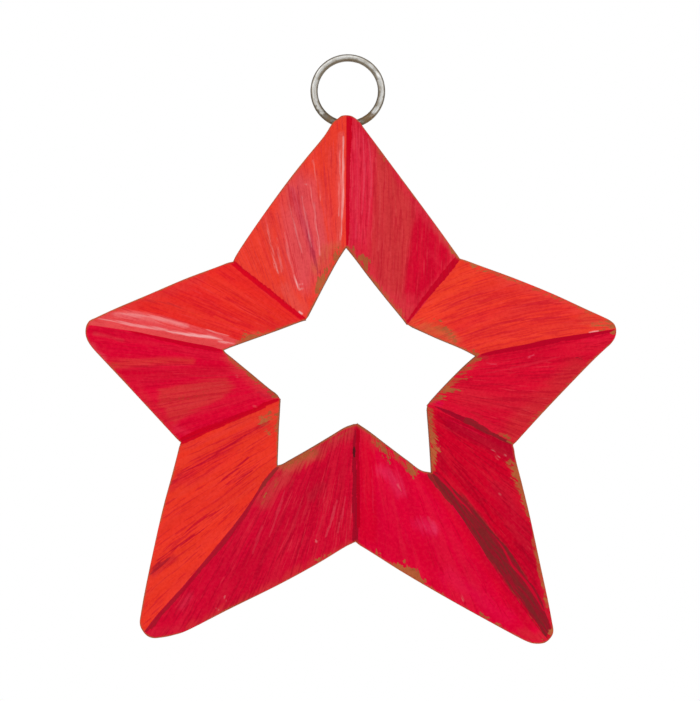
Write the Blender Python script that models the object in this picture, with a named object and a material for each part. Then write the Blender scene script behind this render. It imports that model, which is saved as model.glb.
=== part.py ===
"""Open five-pointed barn star of folded sheet steel, hung on a split ring.

Metres, +Z up, the painted front faces -Y. The world origin is the spot at the
top of the ring's inside where it hangs on its nail. The star hangs from the
lowest point of the ring, so every piece of the star is built in a frame whose
origin is there (the wire's centre line) and is parented to an empty at that
pivot, turned by the small lean at which the star's weight hangs plumb.
"""

import math

import bmesh
import bpy
import numpy as np
from mathutils import Vector

# ---------------------------------------------------------------- dimensions
MM = 0.001
SHEET = 0.7 * MM            # sheet steel
GAP = 0.3 * MM              # running gap between neighbouring pieces
APEX = 32.0 * MM            # height at which all the folds would meet
RIM_BACK = 2.0 * MM         # rim's rear plane lies this far in front of the wire's centre
CENTRE = (0.65 * MM, -95.22 * MM)   # star's centre, across and below the pivot
HANG_LEAN = 5.63            # degrees: foot of the star swings back until it hangs plumb

# Each point: tip radius and bearing, corner rounding, inner corner radius and bearing.
# Bearings run clockwise from straight up, as seen from the front; lengths in mm.
POINTS = (
    ("top", 103.0, 359.4, 6.6, 47.9, 358.5),
    ("right", 108.0, 80.3, 5.9, 48.7, 82.6),
    ("lower_right", 138.0, 143.8, 7.6, 49.5, 140.8),
    ("lower_left", 139.9, 217.4, 9.7, 44.8, 217.7),
    ("left", 107.9, 279.5, 7.3, 48.9, 280.1),
)
# Each notch, clockwise, the first one following the top point: outer and inner corner.
NOTCHES = (
    ("upper_right", 60.9, 44.1, 28.9, 50.2),
    ("right", 68.8, 114.0, 32.3, 113.1),
    ("bottom", 65.0, 178.0, 19.4, 172.0),
    ("left", 70.0, 247.5, 28.1, 249.7),
    ("upper_left", 61.7, 313.6, 26.1, 320.6),
)
FLANGE = 4.0 * MM           # lap behind the next point
SOLDER_LEG = 1.5 * MM       # foot of the solder fillet along each lap

RING_MID_R = 12.96 * MM     # centre line of the wire
WIRE_HALF = 1.44 * MM       # half of the wire's radial width
COIL_THICK = 1.33 * MM      # one turn, along the ring's axis
COIL_SPLIT = 0.07 * MM      # half of the gap between the two turns
RING_START = 35.0           # degrees above horizontal right: free end of the front turn, which runs clockwise
RING_CROSS = 35.0           # degrees over which the wire crosses to the rear turn

STRAP_WIDTH = 4.6 * MM
STRAP_THICK = 0.6 * MM
STRAP_LOOP = 1.78 * MM      # inside radius of the loop round the wire
STRAP_FLAT = 2.9 * MM       # length of the straight rear leg
FOOT_TOP = -6.0 * MM        # where the two legs of the strap meet
FOOT_END = -12.0 * MM
PUDDLE_END = -15.6 * MM     # lower end of the solder below the strap

PIVOT = Vector((0.0, 0.0, -(RING_MID_R - WIRE_HALF) - RING_MID_R))
RIM_FRONT = -RIM_BACK - SHEET * 0.87    # front corner of the rim's cut edge

PAINT_RED = (0.62, 0.020, 0.028)
WORN_STEEL = (0.42, 0.41, 0.39)
BROWN_STEEL = (0.20, 0.085, 0.045)
SOLDER_GREY = (0.33, 0.33, 0.34)

# ------------------------------------------------------------------- helpers
for old in list(bpy.data.objects):
    bpy.data.objects.remove(old, do_unlink=True)


def material(name, colour, roughness, metallic):
    mat = bpy.data.materials.new(name)
    mat.use_nodes = True
    shader = mat.node_tree.nodes["Principled BSDF"]
    shader.inputs["Base Color"].default_value = (*colour, 1.0)
    shader.inputs["Roughness"].default_value = roughness
    shader.inputs["Metallic"].default_value = metallic
    mat.diffuse_color = (*colour, 1.0)
    return mat


def place(name, mesh, mat, parent=None, location=None, smooth=False):
    obj = bpy.data.objects.new(name, mesh)
    obj.data.materials.append(mat)
    bpy.context.scene.collection.objects.link(obj)
    if parent is not None:
        obj.parent = parent
    if location is not None:
        obj.location = location
    if smooth:
        mesh.shade_smooth()
        mesh.set_sharp_from_angle(angle=math.radians(35))
    return obj


def empty(name, location, lean=0.0):
    obj = bpy.data.objects.new(name, None)
    obj.location = location
    obj.rotation_euler = (math.radians(lean), 0.0, 0.0)
    obj.empty_display_size = 0.01
    bpy.context.scene.collection.objects.link(obj)
    return obj


def unit(v):
    return v / np.linalg.norm(v)


def slab(name, front, back):
    """A closed sheet from two matching grids of points, front and back."""
    columns, rows = front.shape[:2]
    bm = bmesh.new()
    f = [[bm.verts.new(front[i, j]) for j in range(rows)] for i in range(columns)]
    k = [[bm.verts.new(back[i, j]) for j in range(rows)] for i in range(columns)]
    for i in range(columns - 1):
        for j in range(rows - 1):
            bm.faces.new((f[i][j], f[i + 1][j], f[i + 1][j + 1], f[i][j + 1]))
            bm.faces.new((k[i][j], k[i][j + 1], k[i + 1][j + 1], k[i + 1][j]))
    for i in range(columns - 1):
        bm.faces.new((f[i][0], k[i][0], k[i + 1][0], f[i + 1][0]))
        bm.faces.new((f[i][-1], f[i + 1][-1], k[i + 1][-1], k[i][-1]))
    for j in range(rows - 1):
        bm.faces.new((f[0][j], f[0][j + 1], k[0][j + 1], k[0][j]))
        bm.faces.new((f[-1][j], k[-1][j], k[-1][j + 1], f[-1][j + 1]))
    bmesh.ops.recalc_face_normals(bm, faces=bm.faces[:])
    mesh = bpy.data.meshes.new(name)
    bm.to_mesh(mesh)
    bm.free()
    return mesh


def loft(name, sections):
    """A closed body through matching closed sections, with flat ends."""
    bm = bmesh.new()
    rings = [[bm.verts.new(p) for p in section] for section in sections]
    count = len(rings[0])
    for a, b in zip(rings, rings[1:]):
        for i in range(count):
            n = (i + 1) % count
            bm.faces.new((a[i], a[n], b[n], b[i]))
    bm.faces.new(rings[0])
    bm.faces.new(list(reversed(rings[-1])))
    bmesh.ops.recalc_face_normals(bm, faces=bm.faces[:])
    bmesh.ops.triangulate(bm, faces=[f for f in bm.faces if len(f.verts) > 4])
    mesh = bpy.data.meshes.new(name)
    bm.to_mesh(mesh)
    bm.free()
    return mesh


# ------------------------------------------------------------ star's corners
def plan(radius_mm, bearing):
    """Place of a corner across and up from the pivot."""
    a = math.radians(bearing)
    return np.array(
        (
            CENTRE[0] + radius_mm * MM * math.sin(a),
            CENTRE[1] + radius_mm * MM * math.cos(a),
        )
    )


def lift(xz, height):
    """A point of the sheet's front, this far in front of the rim."""
    return np.array((xz[0], RIM_FRONT - height, xz[1]))


def fold_height(outer_mm, inner_mm):
    """Every fold climbs in a straight line from the rim to the common apex."""
    return APEX * (1.0 - inner_mm / outer_mm)


def rounded_tip(tip, along, other, radius, steps):
    """Outline from the middle of the rounded tip to where it meets this edge."""
    a, b = unit(along - tip), unit(other - tip)
    half = 0.5 * math.acos(float(np.clip(a @ b, -1, 1)))
    centre = tip + unit(a + b) * radius / math.sin(half)
    start = unit(tip - centre)
    end = unit(tip + a * radius / math.tan(half) - centre)
    sweep = math.atan2(start[0] * end[1] - start[1] * end[0], start @ end)
    points = []
    for i in range(steps + 1):
        t = sweep * i / steps
        c, s = math.cos(t), math.sin(t)
        points.append(centre + radius * np.array((c * start[0] - s * start[1], s * start[0] + c * start[1])))
    return points


def facet(point, notch, other_notch, arc_steps=4, straight_steps=3, rows=2):
    """Front of one facet: columns from its ridge to its valley, rows from the rim inwards."""
    _, tip_r, tip_b, rounding, in_r, in_b = point
    _, out_r, out_b, nin_r, nin_b = notch
    tip, inner_tip = plan(tip_r, tip_b), plan(in_r, in_b)
    corner, inner_corner = plan(out_r, out_b), plan(nin_r, nin_b)
    other = plan(other_notch[1], other_notch[2])
    arc = rounded_tip(tip, corner, other, rounding * MM, arc_steps)
    tip_height, notch_height = fold_height(tip_r, in_r), fold_height(out_r, nin_r)
    edge = unit(corner - tip)
    away = [abs(edge[0] * (p - tip)[1] - edge[1] * (p - tip)[0]) for p in arc]
    at_ridge = tip_height * np.linalg.norm(arc[0] - tip) / np.linalg.norm(inner_tip - tip)
    outer = [lift(p, at_ridge * w / away[0]) for p, w in zip(arc, away)]
    for i in range(1, straight_steps + 1):
        outer.append(lift(arc[-1] + (corner - arc[-1]) * i / straight_steps, 0.0))
    lengths = np.cumsum([0.0] + [np.linalg.norm(b - a) for a, b in zip(outer, outer[1:])])
    shares = lengths / lengths[-1]
    a, b = lift(inner_tip, tip_height), lift(inner_corner, notch_height)
    grid = np.empty((len(outer), rows + 1, 3))
    for i, (p, share) in enumerate(zip(outer, shares)):
        q = a + (b - a) * share
        for j in range(rows + 1):
            grid[i, j] = p + (q - p) * j / rows
    return grid


def face_normal(grid):
    """Mean direction of a facet, towards the front."""
    n = unit(np.cross(grid[-1, -1] - grid[0, 0], grid[0, -1] - grid[-1, 0]))
    return n if n[1] < 0 else -n


class Valley:
    """The fold line between a point's clockwise facet and the next point's first facet."""

    def __init__(self, before, after):
        self.line = before[-1]
        self.along = unit(self.line[-1] - self.line[0])
        middle = self.line.mean(axis=0)

        def across(grid):
            v = grid.reshape(-1, 3).mean(axis=0) - middle
            return unit(v - self.along * (v @ self.along))

        def front(v):
            n = unit(np.cross(self.along, v))
            return n if n[1] < 0 else -n

        self.into_next = across(after)
        self.beyond = -across(before)
        self.next_normal = front(self.into_next)
        self.prev_normal = front(self.beyond)
        self.sine = self.into_next @ self.prev_normal
        self.cosine = self.next_normal @ self.prev_normal

    def at(self, share):
        return self.line[0] + (self.line[-1] - self.line[0]) * share


grids = []
for i, point in enumerate(POINTS):
    after, before = NOTCHES[i], NOTCHES[i - 1]
    grids.append((facet(point, before, after), facet(point, after, before)))
valleys = [Valley(grids[i][1], grids[(i + 1) % 5][0]) for i in range(5)]

# ------------------------------------------------------------------ supports
steel = material("red_painted_steel", PAINT_RED, 0.45, 0.0)
brown = material("browned_steel", BROWN_STEEL, 0.6, 0.4)
solder = material("dull_solder", SOLDER_GREY, 0.5, 0.8)
ring_steel = material("weathered_ring_steel", WORN_STEEL, 0.35, 0.9)

nail = empty("nail_point", (0.0, 0.0, 0.0))
pivot = empty("star_pivot", PIVOT, HANG_LEAN)

# -------------------------------------------------------------- folded points
for i, point in enumerate(POINTS):
    first, second = grids[i]
    before, after = valleys[i - 1], valleys[i]
    rows = first.shape[1]
    n1, n2 = face_normal(first), face_normal(second)
    front, back = [], []
    # cut edge along the valley before this point, bevelled to clear its neighbour
    clear = GAP / before.sine
    clear_back = (GAP + SHEET * before.cosine) / before.sine
    front.append(before.line + before.into_next * clear)
    back.append(before.line + before.into_next * clear_back - before.next_normal * SHEET)
    for column in first[-2:0:-1]:
        front.append(column)
        back.append(column - n1 * SHEET)
    # ridge
    front.append(first[0])
    back.append(first[0] - (n1 + n2) / (1.0 + n1 @ n2) * SHEET)
    for column in second[1:-1]:
        front.append(column)
        back.append(column - n2 * SHEET)
    # bend of the flange, behind the next point
    reach = (SHEET + GAP) / -(after.beyond @ after.next_normal)
    ease = np.array([0.02 - 0.06 * j / (rows - 1) for j in range(rows)])
    bend = after.line + after.beyond * reach + ease[:, None] * (after.line[-1] - after.line[0])
    mitre = (after.prev_normal + after.next_normal) / (1.0 + after.prev_normal @ after.next_normal)
    front.append(bend)
    back.append(bend - mitre * SHEET)
    shift = after.line[-1] - after.line[0]
    trim = np.array([0.04 - 0.14 * j / (rows - 1) for j in range(rows)])
    end = bend + after.into_next * FLANGE + trim[:, None] * shift
    front.append(end)
    back.append(end - after.next_normal * SHEET)
    mesh = slab("point_" + point[0], np.array(front), np.array(back))
    place("point_" + point[0], mesh, steel, parent=pivot)

# -------------------------------------------------------------- solder seams
for i, notch in enumerate(NOTCHES):
    v = valleys[i]
    reach = (SHEET + GAP) / -(v.beyond @ v.next_normal)
    start = reach * (v.beyond @ v.into_next) + FLANGE + 0.25 * MM
    base = SHEET + 0.25 * MM
    top = SHEET + GAP + SHEET
    profile = (
        (start, base),
        (start + SOLDER_LEG, base),
        (start + SOLDER_LEG - 0.10 * MM, base + 0.14 * MM),
        (start + 0.45 * SOLDER_LEG, base + 0.36 * (top - base)),
        (start + 0.10 * SOLDER_LEG, top),
        (start, top),
    )
    sections = []
    for share in np.linspace(0.09, 0.84, 9):
        # the bead swells and thins a little along its length
        swell = 1.0 + 0.10 * math.sin(11.0 * share + i)
        sections.append(
            [v.at(share) + v.into_next * (start + (s - start) * swell) - v.next_normal * q for s, q in profile]
        )
    place("seam_" + notch[0], loft("seam_" + notch[0], sections), solder, parent=pivot, smooth=True)


# -------------------------------------------------------------- hanger strap
def hollow(x, z):
    """Back of the top point's sheet at this place: the rearmost of its two facets."""
    found = []
    for grid in grids[0]:
        n = face_normal(grid)
        p = grid.reshape(-1, 3).mean(axis=0) - n * SHEET
        found.append(p[1] - (n[0] * (x - p[0]) + n[2] * (z - p[2])) / n[1])
    return max(found)


def offset_path(path, distance):
    """The path moved sideways, with mitred corners."""
    moved = []
    for i, p in enumerate(path):
        a = unit(p - path[i - 1]) if i else unit(path[1] - p)
        b = unit(path[i + 1] - p) if i < len(path) - 1 else a
        na, nb = np.array((-a[1], a[0])), np.array((-b[1], b[0]))
        moved.append(p + distance * (na + nb) / (1.0 + na @ nb))
    return moved


half_width = STRAP_WIDTH / 2


def seat(z):
    """Front face of the strap's foot, resting between the flanks of the hollow."""
    return max(hollow(-half_width, z), hollow(half_width, z)) + 0.25 * MM


mid = STRAP_LOOP + STRAP_THICK / 2
thick = STRAP_THICK
foot_gap = 0.2 * MM
path = [
    np.array((seat(FOOT_END) + thick / 2, FOOT_END)),
    np.array((seat(FOOT_TOP) + thick / 2, FOOT_TOP)),
]
path.append(np.array((-mid, -0.6 * MM)))
for k in range(13):
    a = math.pi - math.pi * k / 12
    path.append(np.array((mid * math.cos(a), mid * math.sin(a))))
path.append(np.array((mid, -STRAP_FLAT)))
second = thick * 1.5 + foot_gap
knee = FOOT_TOP - 0.9 * MM
path.append(np.array((seat(knee) + second, knee)))
path.append(np.array((seat(FOOT_END + 0.5 * MM) + second, FOOT_END + 0.5 * MM)))
outline = offset_path(path, thick / 2) + offset_path(path, -thick / 2)[::-1]
sections = [[np.array((x, y, z)) for y, z in outline] for x in (-half_width, half_width)]
place("hanger_strap", loft("hanger_strap", sections), brown, parent=pivot)


# ------------------------------------------------- solder that holds the strap
def flank(side, y, z):
    """How far to this side the hollow's flank lies at this depth, less a gap."""
    grid = grids[0][0 if side < 0 else 1]
    n = face_normal(grid)
    p = grid.reshape(-1, 3).mean(axis=0) - n * (SHEET + 0.25 * MM)
    return p[0] - (n[1] * (y - p[1]) + n[2] * (z - p[2])) / n[0]


def crotch(z):
    """Bottom of the hollow, less a gap: where the two flanks meet."""
    na, nb = (face_normal(g) for g in grids[0])
    pa, pb = (g.reshape(-1, 3).mean(axis=0) - n * (SHEET + 0.25 * MM) for g, n in zip(grids[0], (na, nb)))
    a = np.array(((na[0], na[1]), (nb[0], nb[1])))
    b = np.array((na @ pa - na[2] * z, nb @ pb - nb[2] * z))
    return np.linalg.solve(a, b)


sections = []
stations = [(FOOT_TOP - 0.4 * MM, -0.25), (FOOT_END + 0.1 * MM, -0.25), (FOOT_END - 0.3 * MM, -0.25)]
stations += [(FOOT_END - 0.31 * MM, 0.9), (FOOT_END - 1.2 * MM, 0.75), (FOOT_END - 2.4 * MM, 0.3), (PUDDLE_END, -0.55)]
for z, rise in stations:
    y = seat(z) + rise * MM
    x0, x1 = flank(-1, y, z), flank(1, y, z)
    apex = crotch(z)
    middle = 0.5 * (x0 + x1)
    crown = 0.12 * MM if rise > 0 else 0.0
    sections.append(
        [
            np.array((x0, y, z)),
            np.array((apex[0], apex[1], z)),
            np.array((x1, y, z)),
            np.array((middle, y + crown, z)),
        ]
    )
place("hanger_solder", loft("hanger_solder", sections), solder, parent=pivot)

# ---------------------------------------------------------------- split ring
SECTION_POINTS = 16


def wire_section(front_share):
    """Half-round wire, its flat side against the other turn; oval while it crosses over."""
    points = []
    for i in range(SECTION_POINTS):
        a = 2.0 * math.pi * (i + 0.5) / SECTION_POINTS
        c, s = math.cos(a), math.sin(a)
        r = math.copysign(abs(c) ** 0.9, c) * WIRE_HALF
        in_front = -COIL_SPLIT - COIL_THICK * max(s, 0.0)
        behind = COIL_SPLIT + COIL_THICK * max(-s, 0.0)
        points.append((r, in_front * front_share + behind * (1.0 - front_share)))
    return points


def ring_layer(turned):
    """1 in the front turn, 0 in the rear turn, easing across between them."""
    into = (turned - (360.0 - RING_CROSS)) / RING_CROSS
    into = min(max(into, 0.0), 1.0)
    return 1.0 - into * into * (3 - 2 * into)


TURNS = 720.0 - RING_CROSS
STEPS = 132
sections = []
for k in range(STEPS + 1):
    turned = TURNS * k / STEPS
    a = math.radians(RING_START - turned)
    layer = ring_layer(turned)
    section = wire_section(layer)
    sections.append([((RING_MID_R + r) * math.cos(a), y, (RING_MID_R + r) * math.sin(a)) for r, y in section])
ring_centre = (0.0, 0.0, -(RING_MID_R - WIRE_HALF))
place("split_ring", loft("split_ring", sections), ring_steel, parent=nail, location=ring_centre, smooth=True)

bpy.context.view_layer.update()
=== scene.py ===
"""Hand-painted sheet-steel barn star on a split ring: the visual model over its CAD frame.

Metres, +Z up, painted front towards -Y. The star hangs from the ring's lowest
point, so its pieces are worked out in the star's own frame (origin at the
pivot, x right, y back, z up) and then turned by the hanging lean. Outlines and
brush marks are laid out on a drawing grid: one unit is 0.3832 mm, x runs right
and y runs down, and the star's centre is at (349, 372).
"""

import math

import bpy
import numpy as np
from mathutils import Matrix, Vector


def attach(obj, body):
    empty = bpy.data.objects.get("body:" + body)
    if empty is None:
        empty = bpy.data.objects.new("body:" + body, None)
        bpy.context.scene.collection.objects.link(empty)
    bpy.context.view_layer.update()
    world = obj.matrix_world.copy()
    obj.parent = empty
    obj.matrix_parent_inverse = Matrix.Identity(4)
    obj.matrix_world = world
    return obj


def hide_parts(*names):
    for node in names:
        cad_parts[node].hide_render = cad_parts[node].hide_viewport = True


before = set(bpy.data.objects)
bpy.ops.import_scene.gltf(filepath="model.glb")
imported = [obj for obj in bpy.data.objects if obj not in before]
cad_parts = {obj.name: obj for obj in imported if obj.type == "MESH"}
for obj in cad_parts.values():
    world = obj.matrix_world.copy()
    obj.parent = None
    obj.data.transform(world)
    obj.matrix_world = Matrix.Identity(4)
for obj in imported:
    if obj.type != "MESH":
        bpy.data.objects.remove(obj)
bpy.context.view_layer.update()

# ---------------------------------------------------------------- dimensions
MM = 0.001
SHEET = 0.7 * MM
HAIR = 0.05 * MM            # what is left open where one sheet laps another
APEX = 32.0 * MM
RIM_FRONT = -(2.0 + 0.7 * 0.87) * MM
UNIT = 0.3832 * MM
SIGHT = 1200.0 * MM
FLANGE = 4.0 * MM
LEAN = math.radians(5.63)
RING_MID_R = 12.96 * MM
WIRE_HALF = 1.44 * MM
COIL_THICK = 1.33 * MM
COIL_SPLIT = 0.03 * MM
PIVOT = np.array((0.0, 0.0, -(RING_MID_R - WIRE_HALF) - RING_MID_R))
CENTRE = np.array((349.0, 372.0))
CORNER = 0.12 * MM          # rounding of the sheet's cut edge


def to_world(p):
    """From the star's hanging frame to the world."""
    c, s = math.cos(LEAN), math.sin(LEAN)
    p = np.asarray(p, float)
    return np.stack(
        (p[..., 0] + PIVOT[0], p[..., 1] * c - p[..., 2] * s + PIVOT[1], p[..., 1] * s + p[..., 2] * c + PIVOT[2]), -1
    )


def from_drawn(p, h):
    """A place on the drawing grid, this far in front of the rim."""
    f = (SIGHT - h) / SIGHT
    x = 2.7 * UNIT + (p[..., 0] - 350.0) * UNIT * f
    z = -227.0 * UNIT + (350.5 - p[..., 1]) * UNIT * f
    return np.stack((x, RIM_FRONT - h, z), -1)


def to_drawn(q):
    f = (SIGHT - (RIM_FRONT - q[..., 1])) / SIGHT
    return np.stack((350.0 + (q[..., 0] - 2.7 * UNIT) / (UNIT * f), 350.5 - (q[..., 2] + 227.0 * UNIT) / (UNIT * f)), -1)


def unit(v):
    return v / np.maximum(np.linalg.norm(v, axis=-1, keepdims=True), 1e-12)


def smoothstep(a, b, x):
    t = np.clip((x - a) / (b - a), 0.0, 1.0)
    return t * t * (3.0 - 2.0 * t)


def linear(rgb):
    """Screen colour 0-255 to the linear values that shaders take."""
    c = np.asarray(rgb, float) / 255.0
    return np.where(c <= 0.04045, c / 12.92, ((c + 0.055) / 1.055) ** 2.4)


def hash2(i, j, seed):
    n = (i.astype(np.int64) * 374761393 + j.astype(np.int64) * 668265263 + seed * 974711) & 0x7FFFFFFF
    n = ((n ^ (n >> 13)) * 1274126177) & 0x7FFFFFFF
    return ((n ^ (n >> 16)) & 0xFFFF) / 65535.0


def vnoise(x, y, seed=0):
    """Smooth value noise, 0 to 1."""
    i, j = np.floor(x), np.floor(y)
    fx, fy = x - i, y - j
    fx, fy = fx * fx * (3 - 2 * fx), fy * fy * (3 - 2 * fy)
    a, b = hash2(i, j, seed), hash2(i + 1, j, seed)
    c, d = hash2(i, j + 1, seed), hash2(i + 1, j + 1, seed)
    return (a * (1 - fx) + b * fx) * (1 - fy) + (c * (1 - fx) + d * fx) * fy


# -------------------------------------------------------------------- curves
def smooth_line(points, per=16):
    """A smooth open curve through these points."""
    p = np.asarray(points, float)
    if len(p) < 3:
        t = np.linspace(0, 1, per + 1)[:, None]
        return p[0] + (p[1] - p[0]) * t
    g = np.vstack((2 * p[0] - p[1], p, 2 * p[-1] - p[-2]))
    out = []
    for i in range(1, len(g) - 2):
        p0, p1, p2, p3 = g[i - 1 : i + 3]
        d = [max(np.linalg.norm(b - a), 1e-9) ** 0.5 for a, b in ((p0, p1), (p1, p2), (p2, p3))]
        m1 = (p2 - p1) + d[1] * ((p1 - p0) / d[0] - (p2 - p0) / (d[0] + d[1]))
        m2 = (p2 - p1) + d[1] * ((p3 - p2) / d[2] - (p3 - p1) / (d[1] + d[2]))
        t = np.linspace(0, 1, per, endpoint=False)[:, None]
        out.append(
            (2 * t**3 - 3 * t**2 + 1) * p1 + (t**3 - 2 * t**2 + t) * m1 + (-2 * t**3 + 3 * t**2) * p2 + (t**3 - t**2) * m2
        )
    out.append(p[-1:])
    return np.vstack(out)


def shares_of(line):
    d = np.concatenate(([0.0], np.cumsum(np.linalg.norm(np.diff(line, axis=0), axis=1))))
    return d / d[-1], d[-1]


def even(line, count=601):
    s, _ = shares_of(line)
    t = np.linspace(0, 1, count)
    return np.stack([np.interp(t, s, line[:, k]) for k in range(line.shape[1])], -1)


def near(p, line):
    """Distance from each place to a drawn line, and how far along it, 0 to 1."""
    line = np.asarray(line, float)
    if len(line) == 1:
        return np.linalg.norm(p - line[0], axis=-1), np.zeros(p.shape[:-1])
    share, _ = shares_of(line)
    best, at = np.full(p.shape[:-1], 1e9), np.zeros(p.shape[:-1])
    for k in range(len(line) - 1):
        a, b = line[k], line[k + 1]
        ab = b - a
        t = np.clip(((p - a) @ ab) / (ab @ ab), 0, 1)
        d = np.linalg.norm(p - (a + t[..., None] * ab), axis=-1)
        closer = d < best
        best = np.where(closer, d, best)
        at = np.where(closer, share[k] + t * (share[k + 1] - share[k]), at)
    return best, at


# ----------------------------------------------------- outlines, drawing grid
# Rims run from the end of the ridge to the notch; inner edges from the inner
# tip to the inner notch.
RIM = {
    "TR": [(345.9, 114.9), (350.3, 115.5), (354.8, 118), (359, 121.8), (363.1, 127.5), (373.3, 141.1), (392.6, 167.1),
           (415.7, 198.2), (440.2, 231.6), (455.8, 253.4), (459.5, 258)],
    "RU": [(615.5, 328.4), (613.7, 323.9), (609.2, 320), (602.7, 316.7), (585.1, 308.7), (552.8, 293.8), (512.6, 277.5),
           (480.3, 265.7), (459.5, 258)],
    "RL": [(615.5, 328.4), (615.3, 333.2), (613.7, 338.1), (610.1, 343.2), (604.5, 348.3), (593, 359.2), (569.3, 383.5),
           (541.4, 412.9), (519.1, 437.3), (512.6, 444.5)],
    "LRU": [(547.5, 639.3), (550.1, 636.2), (551.8, 632.9), (552.2, 629.3), (551, 622.1), (546.7, 599.5), (538.5, 561.5), (529.1, 517.8),
            (520.9, 483.7), (514, 456.1), (512.6, 444.5)],
    "LRL": [(547.5, 639.3), (544.3, 641.5), (540.5, 642.4), (536.7, 642.6), (533, 642.3), (529.7, 641.5), (523.3, 638.8), (494.1, 623.2), (450, 598.8),
            (402.3, 571), (367.6, 549.1), (355, 541.6)],
    "LLL": [(143.5, 631.4), (146, 634.1), (149.7, 636.3), (153.9, 637.1), (158.1, 636.8), (166.4, 635.6), (174.5, 633.6), (182.7, 631.1),
            (228.7, 608), (280.7, 582.3), (319, 561.3), (349, 543.5), (355, 541.6)],
    "LLU": [(143.5, 631.4), (141, 627.2), (139.9, 623), (140, 619), (140.7, 614.6), (144.3, 593.9), (153.9, 547.7), (163.2, 507), (172.1, 474.2),
            (178.9, 447.7), (180, 442)],
    "LFL": [(86.1, 324.7), (85.3, 329.3), (85.4, 334), (86.8, 338.9), (89.6, 343.8), (93.4, 348.7), (103, 359.1),
            (126.1, 383.7), (153.7, 413.5), (180, 442)],
    "LFU": [(86.1, 324.7), (89, 320.5), (95.7, 317.2), (113.6, 308.9), (147.3, 294.6), (186.2, 278), (218.2, 266.1),
            (227.3, 262.5), (232.4, 261)],
    "TL": [(345.9, 114.9), (341.4, 115.4), (337, 118.6), (332.8, 122.1), (324.1, 135.3), (303.9, 160), (287.1, 181.4),
           (260.3, 218.4), (239, 249.8), (232.4, 261)],
}
INNER = {
    "TR": [(345.5, 247), (354.9, 258.6), (369.1, 277.4), (386.2, 299), (402.3, 318.7), (406.5, 324.3)],
    "RU": [(475.4, 355.8), (460.8, 348.2), (437, 338.2), (415.8, 328.6), (406.5, 324.3)],
    "RL": [(475.4, 355.8), (463.5, 366), (446.9, 382.3), (431.5, 398.8), (426.1, 405.3)],
    "LRU": [(431, 472), (430.5, 462.5), (428.7, 436.5), (427.1, 417.1), (426.1, 405.3)],
    "LRL": [(431, 472), (419.9, 469.6), (405.9, 459.6), (386, 444.7), (368.2, 431.1), (356.1, 423)],
    "LLL": [(277, 465), (282.4, 463.7), (293.3, 457.7), (310.3, 447.9), (332.2, 434.7), (345, 427), (356.1, 423)],
    "LLU": [(277, 465), (276.9, 461), (277.5, 443.5), (278.3, 423.4), (279, 412.4), (279.5, 403), (279.8, 398)],
    "LFL": [(223.3, 349.6), (225.1, 352.4), (234.1, 359.9), (248.9, 372), (264.9, 385.3), (277.2, 395.3), (279.8, 398)],
    "LFU": [(223.3, 349.6), (230, 346.7), (249.4, 339.6), (276.3, 330), (302.4, 320.2), (305.6, 319.5)],
    "TL": [(345.5, 247), (337.2, 259.7), (324.9, 282.2), (314, 303.3), (305.6, 319.5)],
}
RIDGE = {
    "top": [(345.9, 114.9), (345.6, 160), (345.2, 205), (345.5, 247)],
    "right": [(615.5, 328.4), (592, 331.8), (562, 336.3), (545, 339.2), (528, 343.2), (510, 346.6), (495, 349.7), (484, 352.6),
              (475.4, 355.8)],
    "lower_right": [(547.5, 639.3), (539, 629.4), (529, 617), (518, 602), (508.3, 589), (497, 573), (488.4, 560), (480.2, 546),
                    (471.4, 533), (462.4, 519), (452.2, 505), (442.6, 492), (435.4, 481.6), (431, 472)],
    "lower_left": [(143.5, 631.4), (148.9, 624), (156.8, 614), (167.6, 602), (181.3, 587), (195.7, 570), (211.2, 551.5),
                   (223.2, 537), (235.3, 522), (243.8, 510.5), (251, 500), (257.2, 490), (263, 480), (269.6, 472), (277, 465)],
    "left": [(86.1, 324.7), (92, 324.9), (105, 326.6), (120, 328.9), (136, 331.2), (150, 334.2), (166, 337.4), (180, 340.2),
             (195, 343.1), (210, 345.8), (223.3, 349.6)],
}
NOTCH_OUT = {"UR": (459.5, 258), "R": (512.6, 444.5), "B": (355, 541.6), "L": (180, 442), "UL": (232.4, 261)}
NOTCH_IN = {"UR": (406.5, 324.3), "R": (426.1, 405.3), "B": (356.1, 423), "L": (279.8, 398), "UL": (305.6, 319.5)}
NOTCH_H = {"UR": 16.8, "R": 16.9, "B": 22.3, "L": 19.0, "UL": 18.5}
TIPS = {
    "top": ((346.2, 103.3), 17.1, "TL", "TR"),
    "right": ((626.7, 324.5), 17.5, "RU", "RL"),
    "lower_right": ((561.6, 662.7), 20.4, "LRU", "LRL"),
    "lower_left": ((127.1, 661.8), 21.7, "LLL", "LLU"),
    "left": ((71.3, 325.7), 17.5, "LFL", "LFU"),
}
# point: notch before it, notch after it, going clockwise
AROUND = (("top", "UL", "UR"), ("right", "UR", "R"), ("lower_right", "R", "B"), ("lower_left", "B", "L"), ("left", "L", "UL"))


def out_from_centre(p, factor=1.005):
    """The painted front stops a little short of the hole's edge."""
    return CENTRE + (np.asarray(p, float) - CENTRE) * factor


def grown(rim, ridge, amount=0.42):
    """The rim moved outwards a little; its notch stays where it is, and both facets agree at the ridge."""
    s, length = shares_of(rim)
    t = unit(np.gradient(rim, axis=0))
    out = np.stack((-t[:, 1], t[:, 0]), -1)
    middle = len(rim) // 2
    if out[middle] @ (rim[middle] - CENTRE) < 0:
        out = -out
    end = unit(ridge[0] - ridge[12])
    near_end = np.clip(1.0 - s * length / 5.0, 0, 1)[:, None] ** 2
    out = unit(out * (1.0 - near_end) + end * near_end)
    return rim + out * (amount * np.clip((1.0 - s) * length / 5.0, 0, 1))[:, None]


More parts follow.
